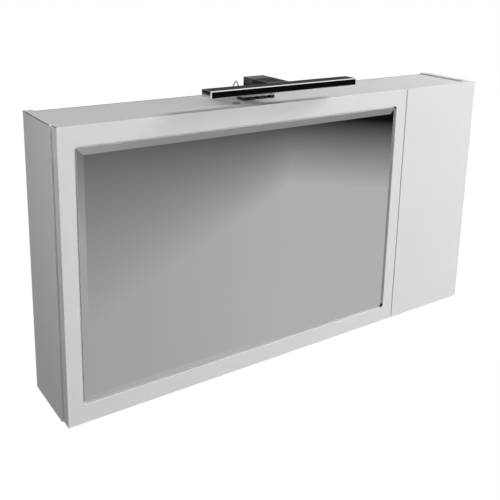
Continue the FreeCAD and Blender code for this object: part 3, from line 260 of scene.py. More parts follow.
FIBRES = Pattern(1.8 * MM, 6.0)
WOOD_GRAIN = Pattern(1.2 * MM, 4.0, (0.12, 1.0, 1.0))
DRAWN_MARKS = Pattern(0.6 * MM, squeeze=(1.0, 0.15, 1.0))
CAST_SKIN = Pattern(0.9 * MM)
SOFT_CELLS = Pattern(0.4 * MM, 2.0)
OPAL_SKIN = Pattern(0.8 * MM, 2.0)
FERRITE_SKIN = Pattern(0.3 * MM, 2.0)


@dataclass(frozen=True)
class Finish:
    """A surface finish, which makes its material once.

    The colour drifts with the patches by the share named mottle. The roughness drifts with the sheen, or
    else with the texture, by an amount and a share of itself. The texture stands up by its height.
    """

    name: str
    colour: Colour
    roughness: float
    patches: Pattern
    mottle: float
    texture: Pattern
    height: float = 0.0
    sheen: Pattern | None = None
    sheen_drift: float = 0.0
    sheen_share: float = 0.0

    def material(self) -> bpy.types.Material:
        """Makes the material of this finish, or finds it where it is made already.

        Returns:
            The material.
        """
        made = bpy.data.materials.get(self.name)
        if made is None:
            made = bpy.data.materials.new(self.name)
            made.use_nodes = True
            sheet = NodeSheet(made.node_tree)
            feeds = {**self.plain_values(), "Base Color": self.tint(sheet), "Roughness": self.gloss(sheet)}
            if self.height:
                feeds["Normal"] = self.relief(sheet)
            shader = sheet.add("ShaderNodeBsdfPrincipled", feeds)
            sheet.add("ShaderNodeOutputMaterial", {"Surface": shader.outputs[0]})
        return made

    def plain_values(self) -> dict[str, float]:
        """The shader's values that are the same all over."""
        return {}

    def tint(self, sheet: NodeSheet) -> Socket:
        """Lets the colour drift about its mean.

        Args:
            sheet: the material's node tree.

        Returns:
            The colour.
        """
        ramp = sheet.add("ShaderNodeValToRGB", {"Fac": self.patches.value(sheet)})
        for stop, place, drift in zip(ramp.color_ramp.elements, PATTERN_SPAN, (-self.mottle, self.mottle)):
            stop.position = place
            stop.color = (*(min(1.0, channel * (1.0 + drift)) for channel in self.colour), 1.0)
        return ramp.outputs["Color"]

    def gloss(self, sheet: NodeSheet) -> Socket:
        """Lets the roughness drift about its mean.

        Args:
            sheet: the material's node tree.

        Returns:
            The roughness.
        """
        pattern = self.sheen or self.texture
        drift = self.sheen_drift + self.roughness * self.sheen_share
        span = (max(0.0, self.roughness - drift), self.roughness + drift)
        return sheet.ramp(pattern.value(sheet), PATTERN_SPAN, span)

    def relief(self, sheet: NodeSheet) -> Socket:
        """The lean of the surface where its texture stands up."""
        feeds = {"Strength": BUMP_STRENGTH, "Distance": self.height, "Height": self.texture.value(sheet)}
        return sheet.add("ShaderNodeBump", feeds).outputs[0]


@dataclass(frozen=True)
class LacquerFinish(Finish):
    """Sprayed satin lacquer on board: nearly even, with a fine orange peel."""

    patches: Pattern = Pattern(0.16)
    mottle: float = 0.012
    texture: Pattern = Pattern(1.3 * MM, 1.0)
    height: float = 0.02 * MM
    sheen: Pattern | None = Pattern(0.05)
    sheen_drift: float = 0.05


@dataclass(frozen=True)
class FibreFinish(Finish):
    """Pressed fibre board, raw or thinly painted, with short matted fibres."""

    patches: Pattern = FIBRES
    mottle: float = 0.08
    texture: Pattern = FIBRES
    height: float = 0.08 * MM
    sheen: Pattern | None = Pattern(0.03)
    sheen_drift: float = 0.06


@dataclass(frozen=True)
class WoodFinish(Finish):
    """Bare turned wood with its grain along one axis."""

    patches: Pattern = WOOD_GRAIN
    mottle: float = 0.22
    texture: Pattern = WOOD_GRAIN
    height: float = 0.05 * MM
    sheen_drift: float = 0.08


@dataclass(frozen=True)
class MetalFinish(Finish):
    """Plated, drawn or cast metal with fine marks of its working."""

    patches: Pattern = Pattern(12.0 * MM)
    mottle: float = 0.06
    texture: Pattern = Pattern(0.6 * MM)
    height: float = 0.004 * MM
    sheen_share: float = 0.4

    def plain_values(self) -> dict[str, float]:
        """All of it is metal."""
        return {"Metallic": 1.0}


@dataclass(frozen=True)
class PolishFinish(MetalFinish):
    """Mirror-bright plating or silvering that keeps a reflection sharp, with a trace of haze."""

    patches: Pattern = Pattern(0.2)
    mottle: float = 0.008
    texture: Pattern = Pattern(0.03)
    height: float = 0.0
    sheen_drift: float = 0.006
    sheen_share: float = 0.0


@dataclass(frozen=True)
class ZonedPolishFinish(PolishFinish):
    """Bright plating that turns satin towards the back."""

    texture: Pattern = Pattern(1.5 * MM, 4.0)
    satin_depth: Span = UNIT
    satin_roughness: float = 0.3

    def gloss(self, sheet: NodeSheet) -> Socket:
        """Raises the roughness where the satin zone begins.

        Args:
            sheet: the material's node tree.

        Returns:
            The roughness.
        """
        place = sheet.add("ShaderNodeTexCoord").outputs["Object"]
        depth = sheet.add("ShaderNodeSeparateXYZ", {0: place}).outputs[1]
        grain = self.texture.value(sheet)
        zones = []
        for roughness in (self.roughness, self.satin_roughness):
            zones.append(sheet.ramp(grain, PATTERN_SPAN, (roughness, roughness + self.sheen_drift)))
        return sheet.ramp(depth, self.satin_depth, zones)


@dataclass(frozen=True)
class PlasticFinish(Finish):
    """Moulded plastic, rubber or foam with the fine texture of its mould or cells."""

    patches: Pattern = Pattern(8.0 * MM)
    mottle: float = 0.03
    texture: Pattern = Pattern(0.5 * MM, 2.0)
    height: float = 0.01 * MM
    sheen_drift: float = 0.06


@dataclass(frozen=True)
class GlassFinish(Finish):
    """Float glass, clear on its faces, with a trace of haze."""

    patches: Pattern = Pattern(0.1)
    mottle: float = 0.01
    texture: Pattern = Pattern(0.04)
    sheen_share: float = 0.6
    ior: float = 1.5

    def plain_values(self) -> dict[str, float]:
        """Light goes through all of it."""
        return {"Transmission Weight": 1.0, "IOR": self.ior}


WHITE_LACQUER = LacquerFinish("white_lacquer", (0.80, 0.80, 0.795), 0.42)
RAW_HARDBOARD = FibreFinish("raw_hardboard", (0.36, 0.25, 0.16), 0.72, mottle=0.14)
WHITE_HARDBOARD = FibreFinish("white_hardboard", (0.74, 0.74, 0.73), 0.6, mottle=0.02)
BEECH = WoodFinish("bare_beech", (0.62, 0.44, 0.26), 0.62)
ZINC = MetalFinish("cast_zinc", (0.52, 0.53, 0.55), 0.42, texture=CAST_SKIN, height=0.02 * MM)
PLATED_STEEL = MetalFinish("plated_steel", (0.62, 0.62, 0.63), 0.28)
NICKEL = MetalFinish("hinge_nickel_plate", (0.66, 0.65, 0.62), 0.24, texture=DRAWN_MARKS)
BRIGHT_STEEL = MetalFinish("bright_steel", (0.56, 0.56, 0.58), 0.2)
SPRING_WIRE = MetalFinish("drawn_spring_wire", (0.5, 0.5, 0.52), 0.3)
SILVERING = PolishFinish("silvered_glass", (0.895, 0.885, 0.862), 0.006)
CHROME = PolishFinish("lamp_chrome_plate", (0.62, 0.62, 0.63), 0.03, mottle=0.03, sheen_drift=0.012)
ARM_CHROME = ZonedPolishFinish(
    "lamp_arm_plate",
    CHROME.colour,
    CHROME.roughness,
    mottle=CHROME.mottle,
    sheen_drift=CHROME.sheen_drift,
    satin_depth=(-0.094, -0.088),
    satin_roughness=0.25,
)
GLASS_EDGE = PlasticFinish("ground_glass_edge", (0.74, 0.77, 0.76), 0.25, mottle=0.04)
BACKING_PAINT = PlasticFinish("mirror_backing_paint", (0.30, 0.32, 0.33), 0.55)
FOAM = PlasticFinish("white_foam", (0.78, 0.78, 0.75), 0.85, texture=SOFT_CELLS, height=0.1 * MM)
# Near-black painted shade for the dark lines along outer corners and edges, not a colour of the boards.
PAINTED_EDGE_SHADE = PlasticFinish("painted_edge_shade", (0.05, 0.05, 0.05), 0.6)
BLACK_PLASTIC = PlasticFinish("black_plastic", (0.012, 0.012, 0.013), 0.32)
OPAL = PlasticFinish(
    "opal_acrylic", (0.86, 0.86, 0.85), 0.3, mottle=0.015, texture=OPAL_SKIN, height=0.004 * MM
)
BOARD_COAT = PlasticFinish("white_board_coat", (0.82, 0.82, 0.81), 0.4)
PHOSPHOR = PlasticFinish("chip_phosphor", (0.86, 0.62, 0.12), 0.35)
SOLDER_MASK = PlasticFinish("green_solder_mask", (0.02, 0.13, 0.05), 0.35, mottle=0.12)
SHEATH = PlasticFinish("lead_sheath_grey", (0.55, 0.55, 0.55), 0.45)
RUBBER = PlasticFinish("grey_rubber", (0.2, 0.2, 0.2), 0.7, texture=SOFT_CELLS, height=0.03 * MM)
GREY_PLASTIC = PlasticFinish("latch_grey_plastic", (0.46, 0.47, 0.48), 0.45)
PALE_PLASTIC = PlasticFinish("plunger_pale_plastic", (0.62, 0.62, 0.62), 0.42)
WHITE_PLASTIC = PlasticFinish("box_white_plastic", (0.72, 0.72, 0.70), 0.42)
CLEAR_PLASTIC = PlasticFinish("terminal_plastic_milky", (0.74, 0.75, 0.72), 0.35)
FERRITE = PlasticFinish(
    "bare_ferrite", (0.05, 0.05, 0.055), 0.55, mottle=0.2, texture=FERRITE_SKIN, height=0.04 * MM
)
SHELF_GLASS = GlassFinish("clear_float_glass", (0.93, 0.97, 0.955), 0.01)
SHELF_EDGE = GlassFinish("polished_glass_edge", (0.45, 0.68, 0.58), 0.12)


def linked(name: str, data: bpy.types.ID) -> bpy.types.Object:
    """Puts a mesh, a lamp or a camera into the scene as an object at the origin.

    Args:
        name: the object's name.
        data: what the object holds.

    Returns:
        The object.
    """
    made = bpy.data.objects.new(name, data)
    bpy.context.scene.collection.objects.link(made)
    return made


def settled(block: bpy.types.Object) -> bpy.types.Mesh:
    """Turns an object with its modifiers into a plain mesh and clears the object away.

    Args:
        block: the object.

    Returns:
        The plain mesh.
    """
    graph = bpy.context.evaluated_depsgraph_get()
    mesh = bpy.data.meshes.new_from_object(block.evaluated_get(graph))
    bpy.data.objects.remove(block)
    return mesh


def merged_copy(node: str) -> bmesh.types.BMesh:
    """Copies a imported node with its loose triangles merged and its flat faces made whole.

    Args:
        node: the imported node.

    Returns:
        The copy, which the caller frees.
    """
    copy = bmesh.new()
    copy.from_mesh(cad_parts[node].data)
    bmesh.ops.remove_doubles(copy, verts=copy.verts, dist=MERGE_DISTANCE)
    bmesh.ops.dissolve_limit(copy, angle_limit=FLAT_ANGLE, verts=copy.verts, edges=copy.edges)
    return copy


def softened(node: str, arris: float, shortest: float, runs: Runs = Runs.ANY) -> bpy.types.Mesh:
    """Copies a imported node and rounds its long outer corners.

    Args:
        node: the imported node.
        arris: the width of the rounding.
        shortest: outer edges shorter than this stay sharp.
        runs: which way the edges run that are rounded.

    Returns:
        The rounded mesh.
    """
    copy = merged_copy(node)
    weight = copy.edges.layers.float.new("bevel_weight_edge")
    for edge in copy.edges:
        angle = edge.calc_face_angle(0.0) if edge.is_manifold else 0.0
        length = edge.calc_length()
        span = edge.verts[1].co - edge.verts[0].co
        deep = abs(span.y) > length * DEEP_SHARE
        corner = angle > CORNER_ANGLE and edge.is_convex and length > shortest
        edge.smooth = angle < SHARP_ANGLE
        edge[weight] = float(corner and (deep or runs is Runs.ANY))
    for face in copy.faces:
        face.smooth = True
    mesh = bpy.data.meshes.new(node + "_copy")
    copy.to_mesh(mesh)
    copy.free()
    block = linked(node + "_block", mesh)
    rounding = block.modifiers.new("arris", "BEVEL")
    rounding.limit_method = "WEIGHT"
    rounding.width = arris
    rounding.segments = ARRIS_SEGMENTS
    flattening = block.modifiers.new("flat_faces", "WEIGHTED_NORMAL")
    flattening.keep_sharp = True
    return settled(block)


def dress(mesh: bpy.types.Mesh, *finishes: Finish) -> None:
    """Gives a mesh its finishes and all its faces the first of them.

    Args:
        mesh: the mesh.
        finishes: the finishes in the order of their numbers.
    """
    mesh.materials.clear()
    for finish in finishes:
        mesh.materials.append(finish.material())


def paint_edge_shade(mesh: bpy.types.Mesh, side: Side) -> None:
    """Paints a board white, with near-black painted shade on the rounding of its outer corners from front to
    back.

    Args:
        mesh: the board's softened mesh.
        side: the side of the cabinet where the outer corners are.
    """
    dress(mesh, WHITE_LACQUER, PAINTED_EDGE_SHADE)
    # The slanted rounding of the outer corners is painted near black as shade.
    for face in mesh.polygons:
        slant = min(face.normal.x * side.value, abs(face.normal.z))
        face.material_index = int(slant > EDGE_SHADE_SLANT and face.area > EDGE_SHADE_AREA)


def solid_boxes(node: str) -> list[Box]:
    """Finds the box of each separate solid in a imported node.

    Args:
        node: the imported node.

    Returns:
        The boxes in a fixed order.
    """
    copy = merged_copy(node)
    left = set(copy.verts)
    boxes = []
    while left:
        grown = [left.pop()]
        for vert in grown:
            near = {edge.other_vert(vert) for edge in vert.link_edges} & left
            left -= near
            grown.extend(near)
        low = Vector(min(vert.co[axis] for vert in grown) for axis in range(3))
        high = Vector(max(vert.co[axis] for vert in grown) for axis in range(3))
        boxes.append(Box(low, high))
    copy.free()
    return sorted(boxes, key=lambda box: tuple(round(place, ORDER_DIGITS) for place in box.low))


@dataclass
class SubAssembly:
    """A group of pieces that ride on one body."""

    body: str

    def build(self) -> None:
        """Builds and dresses the pieces."""
        raise NotImplementedError

    def place(self, name: str, mesh: bpy.types.Mesh, slot: str, *nodes: str) -> None:
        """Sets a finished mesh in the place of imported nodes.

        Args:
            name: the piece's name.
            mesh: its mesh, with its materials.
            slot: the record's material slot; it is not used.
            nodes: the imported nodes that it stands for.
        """
        piece = linked(name, mesh)
        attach(piece, self.body)
        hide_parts(*nodes)
        LOG.info("%s: %d faces on %s", name, len(mesh.polygons), self.body)

    def soften(self, node: str, finish: Finish, slot: str, arris: float, shortest: float) -> None:
        """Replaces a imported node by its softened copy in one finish.

        Args:
            node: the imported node.
            finish: the finish of the whole copy.
            slot: the record's material slot.
            arris: the width of the rounding.
            shortest: outer edges shorter than this stay sharp.
        """
        mesh = softened(node, arris, shortest)
        dress(mesh, finish)
        self.place(node + "_piece", mesh, slot, node)

    def band(self, node: str, side: Side, arris: float, shortest: float, runs: Runs = Runs.ANY) -> None:
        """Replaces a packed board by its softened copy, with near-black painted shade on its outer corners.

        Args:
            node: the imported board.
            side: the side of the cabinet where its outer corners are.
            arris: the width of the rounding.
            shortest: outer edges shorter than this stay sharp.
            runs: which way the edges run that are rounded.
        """
        mesh = softened(node, arris, shortest, runs)
        paint_edge_shade(mesh, side)
        self.place(node + "_piece", mesh, "white_board", node)

    def coat(self, node: str, finish: Finish) -> None:
        """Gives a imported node, whose shape is right, its finish.

        Args:
            node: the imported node.
            finish: its finish.
        """
        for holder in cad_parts[node].material_slots:
            holder.material = finish.material()
        LOG.info("%s: coated with %s", node, finish.name)


@dataclass(frozen=True)
class Fastener:
    """One kind of screw, nail or cam, which a node tree repeats over a packed group of them."""

    head: HeadShape
    head_radius: float
    head_height: float
    shank_radius: float
    slot_width: float
    slot_depth: float

    @property
    def tree_name(self) -> str:
        """The name of the node tree for this kind."""
        return f"{self.head.value}_fastener" + ("_cross" if self.slot_depth else "_plain")

    def tree(self) -> bpy.types.NodeTree:
        """Makes the node tree that repeats a fastener over points, once for each kind.

        Returns:
            The tree, with its sizes as named inputs.
        """
        found = bpy.data.node_groups.get(self.tree_name)
        if found is not None:
            return found
        tree = bpy.data.node_groups.new(self.tree_name, "GeometryNodeTree")
        face = tree.interface
        face.new_socket("Geometry", in_out="OUTPUT", socket_type="NodeSocketGeometry")
        face.new_socket("Geometry", in_out="INPUT", socket_type="NodeSocketGeometry")
        for name in ("Head Radius", "Head Height", "Shank Radius", "Slot Width", "Slot Depth"):
            face.new_socket(name, in_out="INPUT", socket_type="NodeSocketFloat")
        face.new_socket("Finish", in_out="INPUT", socket_type="NodeSocketMaterial")
        sheet = NodeSheet(tree)
        given = sheet.add("NodeGroupInput").outputs
        head = self.head_nodes(sheet, given)
        sizes = {"Vertices": SHANK_SIDES, "Radius": given["Shank Radius"], "Depth": 1.0}
        shank = sheet.add("GeometryNodeMeshCylinder", sizes).outputs[0]
        sunk = sheet.moved(shank, "Translation", (0.0, 0.0, -0.5))
        turned = sheet.add("FunctionNodeEulerToRotation", {0: sheet.carried("turn")}).outputs[0]
        joined = sheet.add("GeometryNodeJoinGeometry")
        for shape, scale in ((head, EVEN), (sunk, sheet.carried("reach"))):
            feeds = {"Points": given["Geometry"], "Instance": shape, "Rotation": turned, "Scale": scale}
            sheet.feed(joined.inputs[0], sheet.add("GeometryNodeInstanceOnPoints", feeds).outputs[0])
        real = sheet.add("GeometryNodeRealizeInstances", {0: joined.outputs[0]}).outputs[0]
        coated = sheet.add("GeometryNodeSetMaterial", {"Geometry": real, "Material": given["Finish"]})
        sheet.add("NodeGroupOutput", {0: coated.outputs[0]})
        return tree

    def head_nodes(self, sheet: NodeSheet, given: Any) -> Socket:
        """Adds the nodes of the head, with its cross recess where it has one.

        Args:
            sheet: the node tree.
            given: the tree's inputs.

        Returns:
            The head's geometry, with its seat at the origin and its top towards +Z.
        """
        radius, height = given["Head Radius"], given["Head Height"]
        cutters = []
        if self.head is HeadShape.DOMED:
            sizes = {"Segments": DOME_SEGMENTS, "Rings": DOME_RINGS, "Radius": 1.0}
            ball = sheet.add("GeometryNodeMeshUVSphere", sizes).outputs[0]
            blank = sheet.moved(ball, "Scale", sheet.vector(radius, radius, height))
            top = height
            wide = sheet.math("MULTIPLY", radius, CUTTER_SPAN)
            deep = sheet.math("MULTIPLY", height, CUTTER_SPAN)
            below = sheet.math("MULTIPLY", height, -CUTTER_SPAN / 2)
            cutters.append(self.cutter(sheet, (wide, wide, deep), below))
        else:
            sizes = {"Vertices": DISC_SIDES, "Radius": radius, "Depth": height}
            disc = sheet.add("GeometryNodeMeshCylinder", sizes).outputs[0]
            drop = sheet.math("MULTIPLY", height, -0.5)
            blank = sheet.moved(disc, "Translation", sheet.vector(0.0, 0.0, drop))
            top = 0.0
        if self.slot_depth:
            arm = sheet.math("MULTIPLY", radius, SLOT_REACH)
            twice = sheet.math("MULTIPLY", given["Slot Depth"], 2.0)
            cutters.append(self.cutter(sheet, (arm, given["Slot Width"], twice), top))
            cutters.append(self.cutter(sheet, (given["Slot Width"], arm, twice), top))
        if not cutters:
            return blank
        cut = sheet.add("GeometryNodeMeshBoolean", {0: blank}, operation="DIFFERENCE")
        for cutter in cutters:
            sheet.feed(cut.inputs[1], cutter)
        return cut.outputs[0]

    @staticmethod
    def cutter(sheet: NodeSheet, sides: Pair, height: Any) -> Socket:
        """Adds a block whose middle is at that height."""
        block = sheet.add("GeometryNodeMeshCube", {"Size": sheet.vector(*sides)}).outputs[0]
        return sheet.moved(block, "Translation", sheet.vector(0.0, 0.0, height))

    def row(self, name: str, seats: Iterable[Seat], finish: Finish) -> bpy.types.Mesh:
        """Repeats the fastener.

        Args:
            name: the name of the mesh.
            seats: where each one's head sits, the way it faces and how far its shank reaches below.
            finish: the finish of all of them.

        Returns:
            One plain mesh of the whole row.
        """
        seats = list(seats)
        points = bpy.data.meshes.new(name)
        points.from_pydata([seat for seat, _, _ in seats], [], [])
        turns = points.attributes.new("turn", "FLOAT_VECTOR", "POINT")
        reaches = points.attributes.new("reach", "FLOAT_VECTOR", "POINT")
        for index, (_, facing, reach) in enumerate(seats):
            turns.data[index].vector = facing.turn
            reaches.data[index].vector = (1.0, 1.0, reach)
        block = linked(name + "_points", points)
        modifier = block.modifiers.new("row", "NODES")
        modifier.node_group = self.tree()
        sizes = {
            "Head Radius": self.head_radius,
            "Head Height": self.head_height,
            "Shank Radius": self.shank_radius,
            "Slot Width": self.slot_width,
            "Slot Depth": self.slot_depth,
            "Finish": finish.material(),
        }
        for socket in modifier.node_group.interface.items_tree:
            if socket.in_out == "INPUT" and socket.name in sizes:
                modifier[socket.identifier] = sizes[socket.name]
        mesh = settled(block)
        mesh.shade_smooth()
        mesh.set_sharp_from_angle(angle=SHARP_ANGLE)
        return mesh


HINGE_SCREW = Fastener(HeadShape.DOMED, 3.4 * MM, 1.2 * MM, 1.75 * MM, 0.9 * MM, 0.8 * MM)
LATCH_SCREW = Fastener(HeadShape.DOMED, 2.8 * MM, 1.2 * MM, 1.6 * MM, 0.8 * MM, 0.8 * MM)
FOOT_SCREW = Fastener(HeadShape.DOMED, 3.4 * MM, 1.8 * MM, 1.75 * MM, 0.9 * MM, 1.0 * MM)
BACK_NAIL = Fastener(HeadShape.DOMED, 1.7 * MM, 0.25 * MM, 0.8 * MM, 0.0, 0.0)
CAM = Fastener(HeadShape.FLUSH, 7.5 * MM, 12.5 * MM, 4.4 * MM, 1.6 * MM, 2.2 * MM)


def screw_seats(node: str, fastener: Fastener, facing: Facing) -> list[Seat]:
    """Where the screws of a packed group sit, when all of them face one way.

    Args:
        node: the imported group.
        fastener: the kind of screw.
        facing: the way that their heads face.

    Returns:
        The seat, the way and the shank's reach of each.
    """
    way = facing.way
    seats = []
    for box in solid_boxes(node):
        seat = box.face_centre(facing) - way * fastener.head_height
        length = abs(way.dot(box.size)) - fastener.head_height
        seats.append((seat, facing, length))
    return seats


@dataclass
class Carcass(SubAssembly):
    """The cabinet's box: boards, back, knock-down fittings, shelves and their pins."""

    board_arris: float = 0.9 * MM
    board_edge: float = 9.0 * MM
    back_arris: float = 0.3 * MM
    shelf_arris: float = 0.5 * MM
    shelf_edge: float = 0.0
    pin_arris: float = 0.4 * MM
    pin_edge: float = 0.1 * MM
    sides: dict[str, Side] = field(
        default_factory=lambda: {"left_side_panel": Side.LEFT, "right_side_panel": Side.RIGHT}
    )
    boards: tuple[str, ...] = ("top_panel", "bottom_panel", "divider_panel", "mounting_rail")

    def build(self) -> None:
        """Builds the boards, the back, the fittings and the shelves."""
        for board in self.boards:
            self.soften(board, WHITE_LACQUER, "white_board", self.board_arris, self.board_edge)
        for board, side in self.sides.items():
            self.band(board, side, self.board_arris, self.board_edge)
        self.back()
        self.fittings()
        for shelves in ("mirror_space_shelves", "side_space_shelves"):
            self.shelf_pair(shelves)

    def back(self) -> None:
        """Builds the nailed back board: painted inside, raw towards the wall, with near-black painted shade
        on its edges.
        """
        mesh = softened("back_panel", self.back_arris, self.board_edge)
        dress(mesh, PAINTED_EDGE_SHADE, WHITE_HARDBOARD, RAW_HARDBOARD)
        # The board's edge faces are painted near black as shade.
        edge, painted, raw = range(3)
        for face in mesh.polygons:
            inside, outside = face.normal.y < -FACING_SHARE, face.normal.y > FACING_SHARE
            face.material_index = painted if inside else raw if outside else edge
        self.place("back_panel_piece", mesh, "back_board", "back_panel")
        seats = []
        for box in solid_boxes("back_panel_nails"):
            seats.append((box.face_centre(Facing.BACK), Facing.BACK, box.size.y))
        nails = BACK_NAIL.row("back_nails", seats, PLATED_STEEL)
        self.place("back_panel_nails_piece", nails, "screw_steel", "back_panel_nails")

    def fittings(self) -> None:
        """Builds the cams and the shelf pins, and coats what the boards hide."""
        seats = []
        for box in solid_boxes("cam_discs"):
            facing = self.cam_facing(box)
            seats.append((box.face_centre(facing), facing, CAM.head_height))
        self.place("cam_discs_piece", CAM.row("cam_row", seats, ZINC), "zinc", "cam_discs")
        self.soften("shelf_pins", BRIGHT_STEEL, "pin_nickel", self.pin_arris, self.pin_edge)
        self.coat("wooden_dowels", BEECH)
        self.coat("cam_bolts", PLATED_STEEL)

    @staticmethod
    def cam_facing(box: Box) -> Facing:
        """Finds the open side of a cam's hole: into the cabinet, or to the left on the divider.

        Args:
            box: the cam's box.

        Returns:
            The way that the cam's slot faces.
        """
        if box.size.x < box.size.z:
            return Facing.LEFT
        middle = Box.of("divider_panel").centre.z
        return Facing.DOWN if box.centre.z > middle else Facing.UP

    def shelf_pair(self, node: str) -> None:
        """Builds glass shelves with clear faces and green polished edges.

        Args:
            node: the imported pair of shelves.
        """
        mesh = softened(node, self.shelf_arris, self.shelf_edge)
        dress(mesh, SHELF_GLASS, SHELF_EDGE)
        for face in mesh.polygons:
            face.material_index = int(abs(face.normal.z) < FACING_SHARE)
        self.place(node + "_piece", mesh, "shelf_glass", node)


@dataclass
class HingeSet(SubAssembly):
    """The cup hinges of one door: cups and pins ride on the door, arms and plates on the carcass."""

    door: str
    screw_side: Facing
    arris: float = 0.35 * MM
    shortest: float = 1.5 * MM
    pin_edge: float = 0.05 * MM

    def build(self) -> None:
        """Builds the door's half and then the carcass's half."""
        moving = SubAssembly(self.door)
        moving.soften(self.door + "_hinge_cups", NICKEL, "hinge_nickel", self.arris, self.shortest)
        moving.soften(self.door + "_hinge_pins", BRIGHT_STEEL, "pin_steel", self.arris / 2, self.pin_edge)
        self.screws(moving, self.door + "_cup_screws", Facing.BACK)
        for half in ("_hinge_arms", "_hinge_plates"):
            self.soften(self.door + half, NICKEL, "hinge_nickel", self.arris, self.shortest)
        self.screws(self, self.door + "_plate_screws", self.screw_side)

    @staticmethod
    def screws(holder: SubAssembly, node: str, facing: Facing) -> None:
        """Sets a row of screws on the half that holds them."""
        mesh = HINGE_SCREW.row(node + "_row", screw_seats(node, HINGE_SCREW, facing), PLATED_STEEL)
        holder.place(node + "_piece", mesh, "screw_steel", node)


@dataclass
class PushLatch(SubAssembly):
    """A push latch: its housing and spring on the carcass, its plunger and the door's strike plate."""

    side: str
    door: str
    arris: float = 0.5 * MM
    shortest: float = 1.5 * MM
    magnet_edge: float = 0.1 * MM
    plate_edge: float = 0.3 * MM

    def build(self) -> None:
        """Builds the housing, the plunger with its magnet, and the strike plate."""
        latch = self.side + "_latch_"
        self.soften(latch + "housing", GREY_PLASTIC, "latch_plastic", self.arris, self.shortest)
        self.soften(latch + "spring", SPRING_WIRE, "spring_steel", self.arris, UNROUNDED)
        plunger = SubAssembly(self.side + "_plunger")
        plunger.soften(latch + "plunger", PALE_PLASTIC, "plunger_plastic", self.arris / 2, self.shortest)
        plunger.soften(latch + "magnet", FERRITE, "magnet", self.arris / 4, self.magnet_edge)
        door = SubAssembly(self.door)
        plate = self.side + "_strike_plate"
        door.soften(plate, BRIGHT_STEEL, "strike_steel", self.arris / 3, self.plate_edge)


@dataclass
class LatchScrews(SubAssembly):
    """The screws that hold both latches to the divider from either side."""

    def build(self) -> None:
        """Builds the four screws as one row that faces both ways."""
        middle = Box.of("divider_panel").centre.x
        seats = []
        for seat_left, seat_right in zip(self.seats(Facing.LEFT), self.seats(Facing.RIGHT)):
            seats.append(seat_left if seat_left[0].x < middle else seat_right)
        mesh = LATCH_SCREW.row("latch_screw_row", seats, PLATED_STEEL)
        self.place("latch_screws_piece", mesh, "screw_steel", "latch_screws")

    @staticmethod
    def seats(facing: Facing) -> list[Seat]:
        """The seats of all four screws, if they faced one way."""
        return screw_seats("latch_screws", LATCH_SCREW, facing)


@dataclass
class MirrorDoor(SubAssembly):
    """The framed door with its bevelled mirror in a routed pocket."""

    board_arris: float = 0.8 * MM
    board_edge: float = 12.0 * MM
    facet_width: float = 10.0 * MM
    facet_drop: float = 1.6 * MM
    glass_arris: float = 0.3 * MM
    tape_arris: float = 0.2 * MM
    tape_edge: float = 0.5 * MM

    def build(self) -> None:
        """Builds the frame, the mirror and its tape."""
        self.band("mirror_door_panel", Side.LEFT, self.board_arris, self.board_edge, Runs.DEEP)
        self.place("mirror_glass_piece", self.mirror(), "mirror", "mirror_glass")
        self.soften("mirror_mounting_tape", FOAM, "foam_tape", self.tape_arris, self.tape_edge)

    def mirror(self) -> bpy.types.Mesh:
        """Models the mirror: silvered face and facets, ground edge and painted back.

        Returns:
            The mesh, made of rings from the back to the face.
        """
        box = Box.of("mirror_glass")
        back, front = box.high.y, box.low.y
        steps = (
            (self.glass_arris, back),
            (0.0, back - self.glass_arris),
            (0.0, front + self.facet_drop),
            (self.facet_width, front),
        )
        glass = bmesh.new()
        rings = []
        for inset, depth in steps:
            left, right = box.low.x + inset, box.high.x - inset
            low, high = box.low.z + inset, box.high.z - inset
            corners = ((left, low), (right, low), (right, high), (left, high))
            rings.append([glass.verts.new((x, depth, z)) for x, z in corners])
        silvered, ground, painted = range(3)
        glass.faces.new(rings[0]).material_index = painted
        glass.faces.new(rings[-1]).material_index = silvered
        for lower, upper, index in zip(rings, rings[1:], (painted, ground, silvered)):
            for corner in range(len(lower)):
                following = (corner + 1) % len(lower)
                band = (lower[corner], lower[following], upper[following], upper[corner])
                glass.faces.new(band).material_index = index
        bmesh.ops.recalc_face_normals(glass, faces=glass.faces)
        mesh = bpy.data.meshes.new("bevelled_mirror")
        dress(mesh, SILVERING, GLASS_EDGE, BACKING_PAINT)
        glass.to_mesh(mesh)
        glass.free()
        return mesh


@dataclass
class SideDoor(SubAssembly):
    """The plain narrow door."""

    board_arris: float = 0.8 * MM
    board_edge: float = 12.0 * MM

    def build(self) -> None:
        """Builds the door's board."""
        self.band("side_door_panel", Side.RIGHT, self.board_arris, self.board_edge, Runs.DEEP)


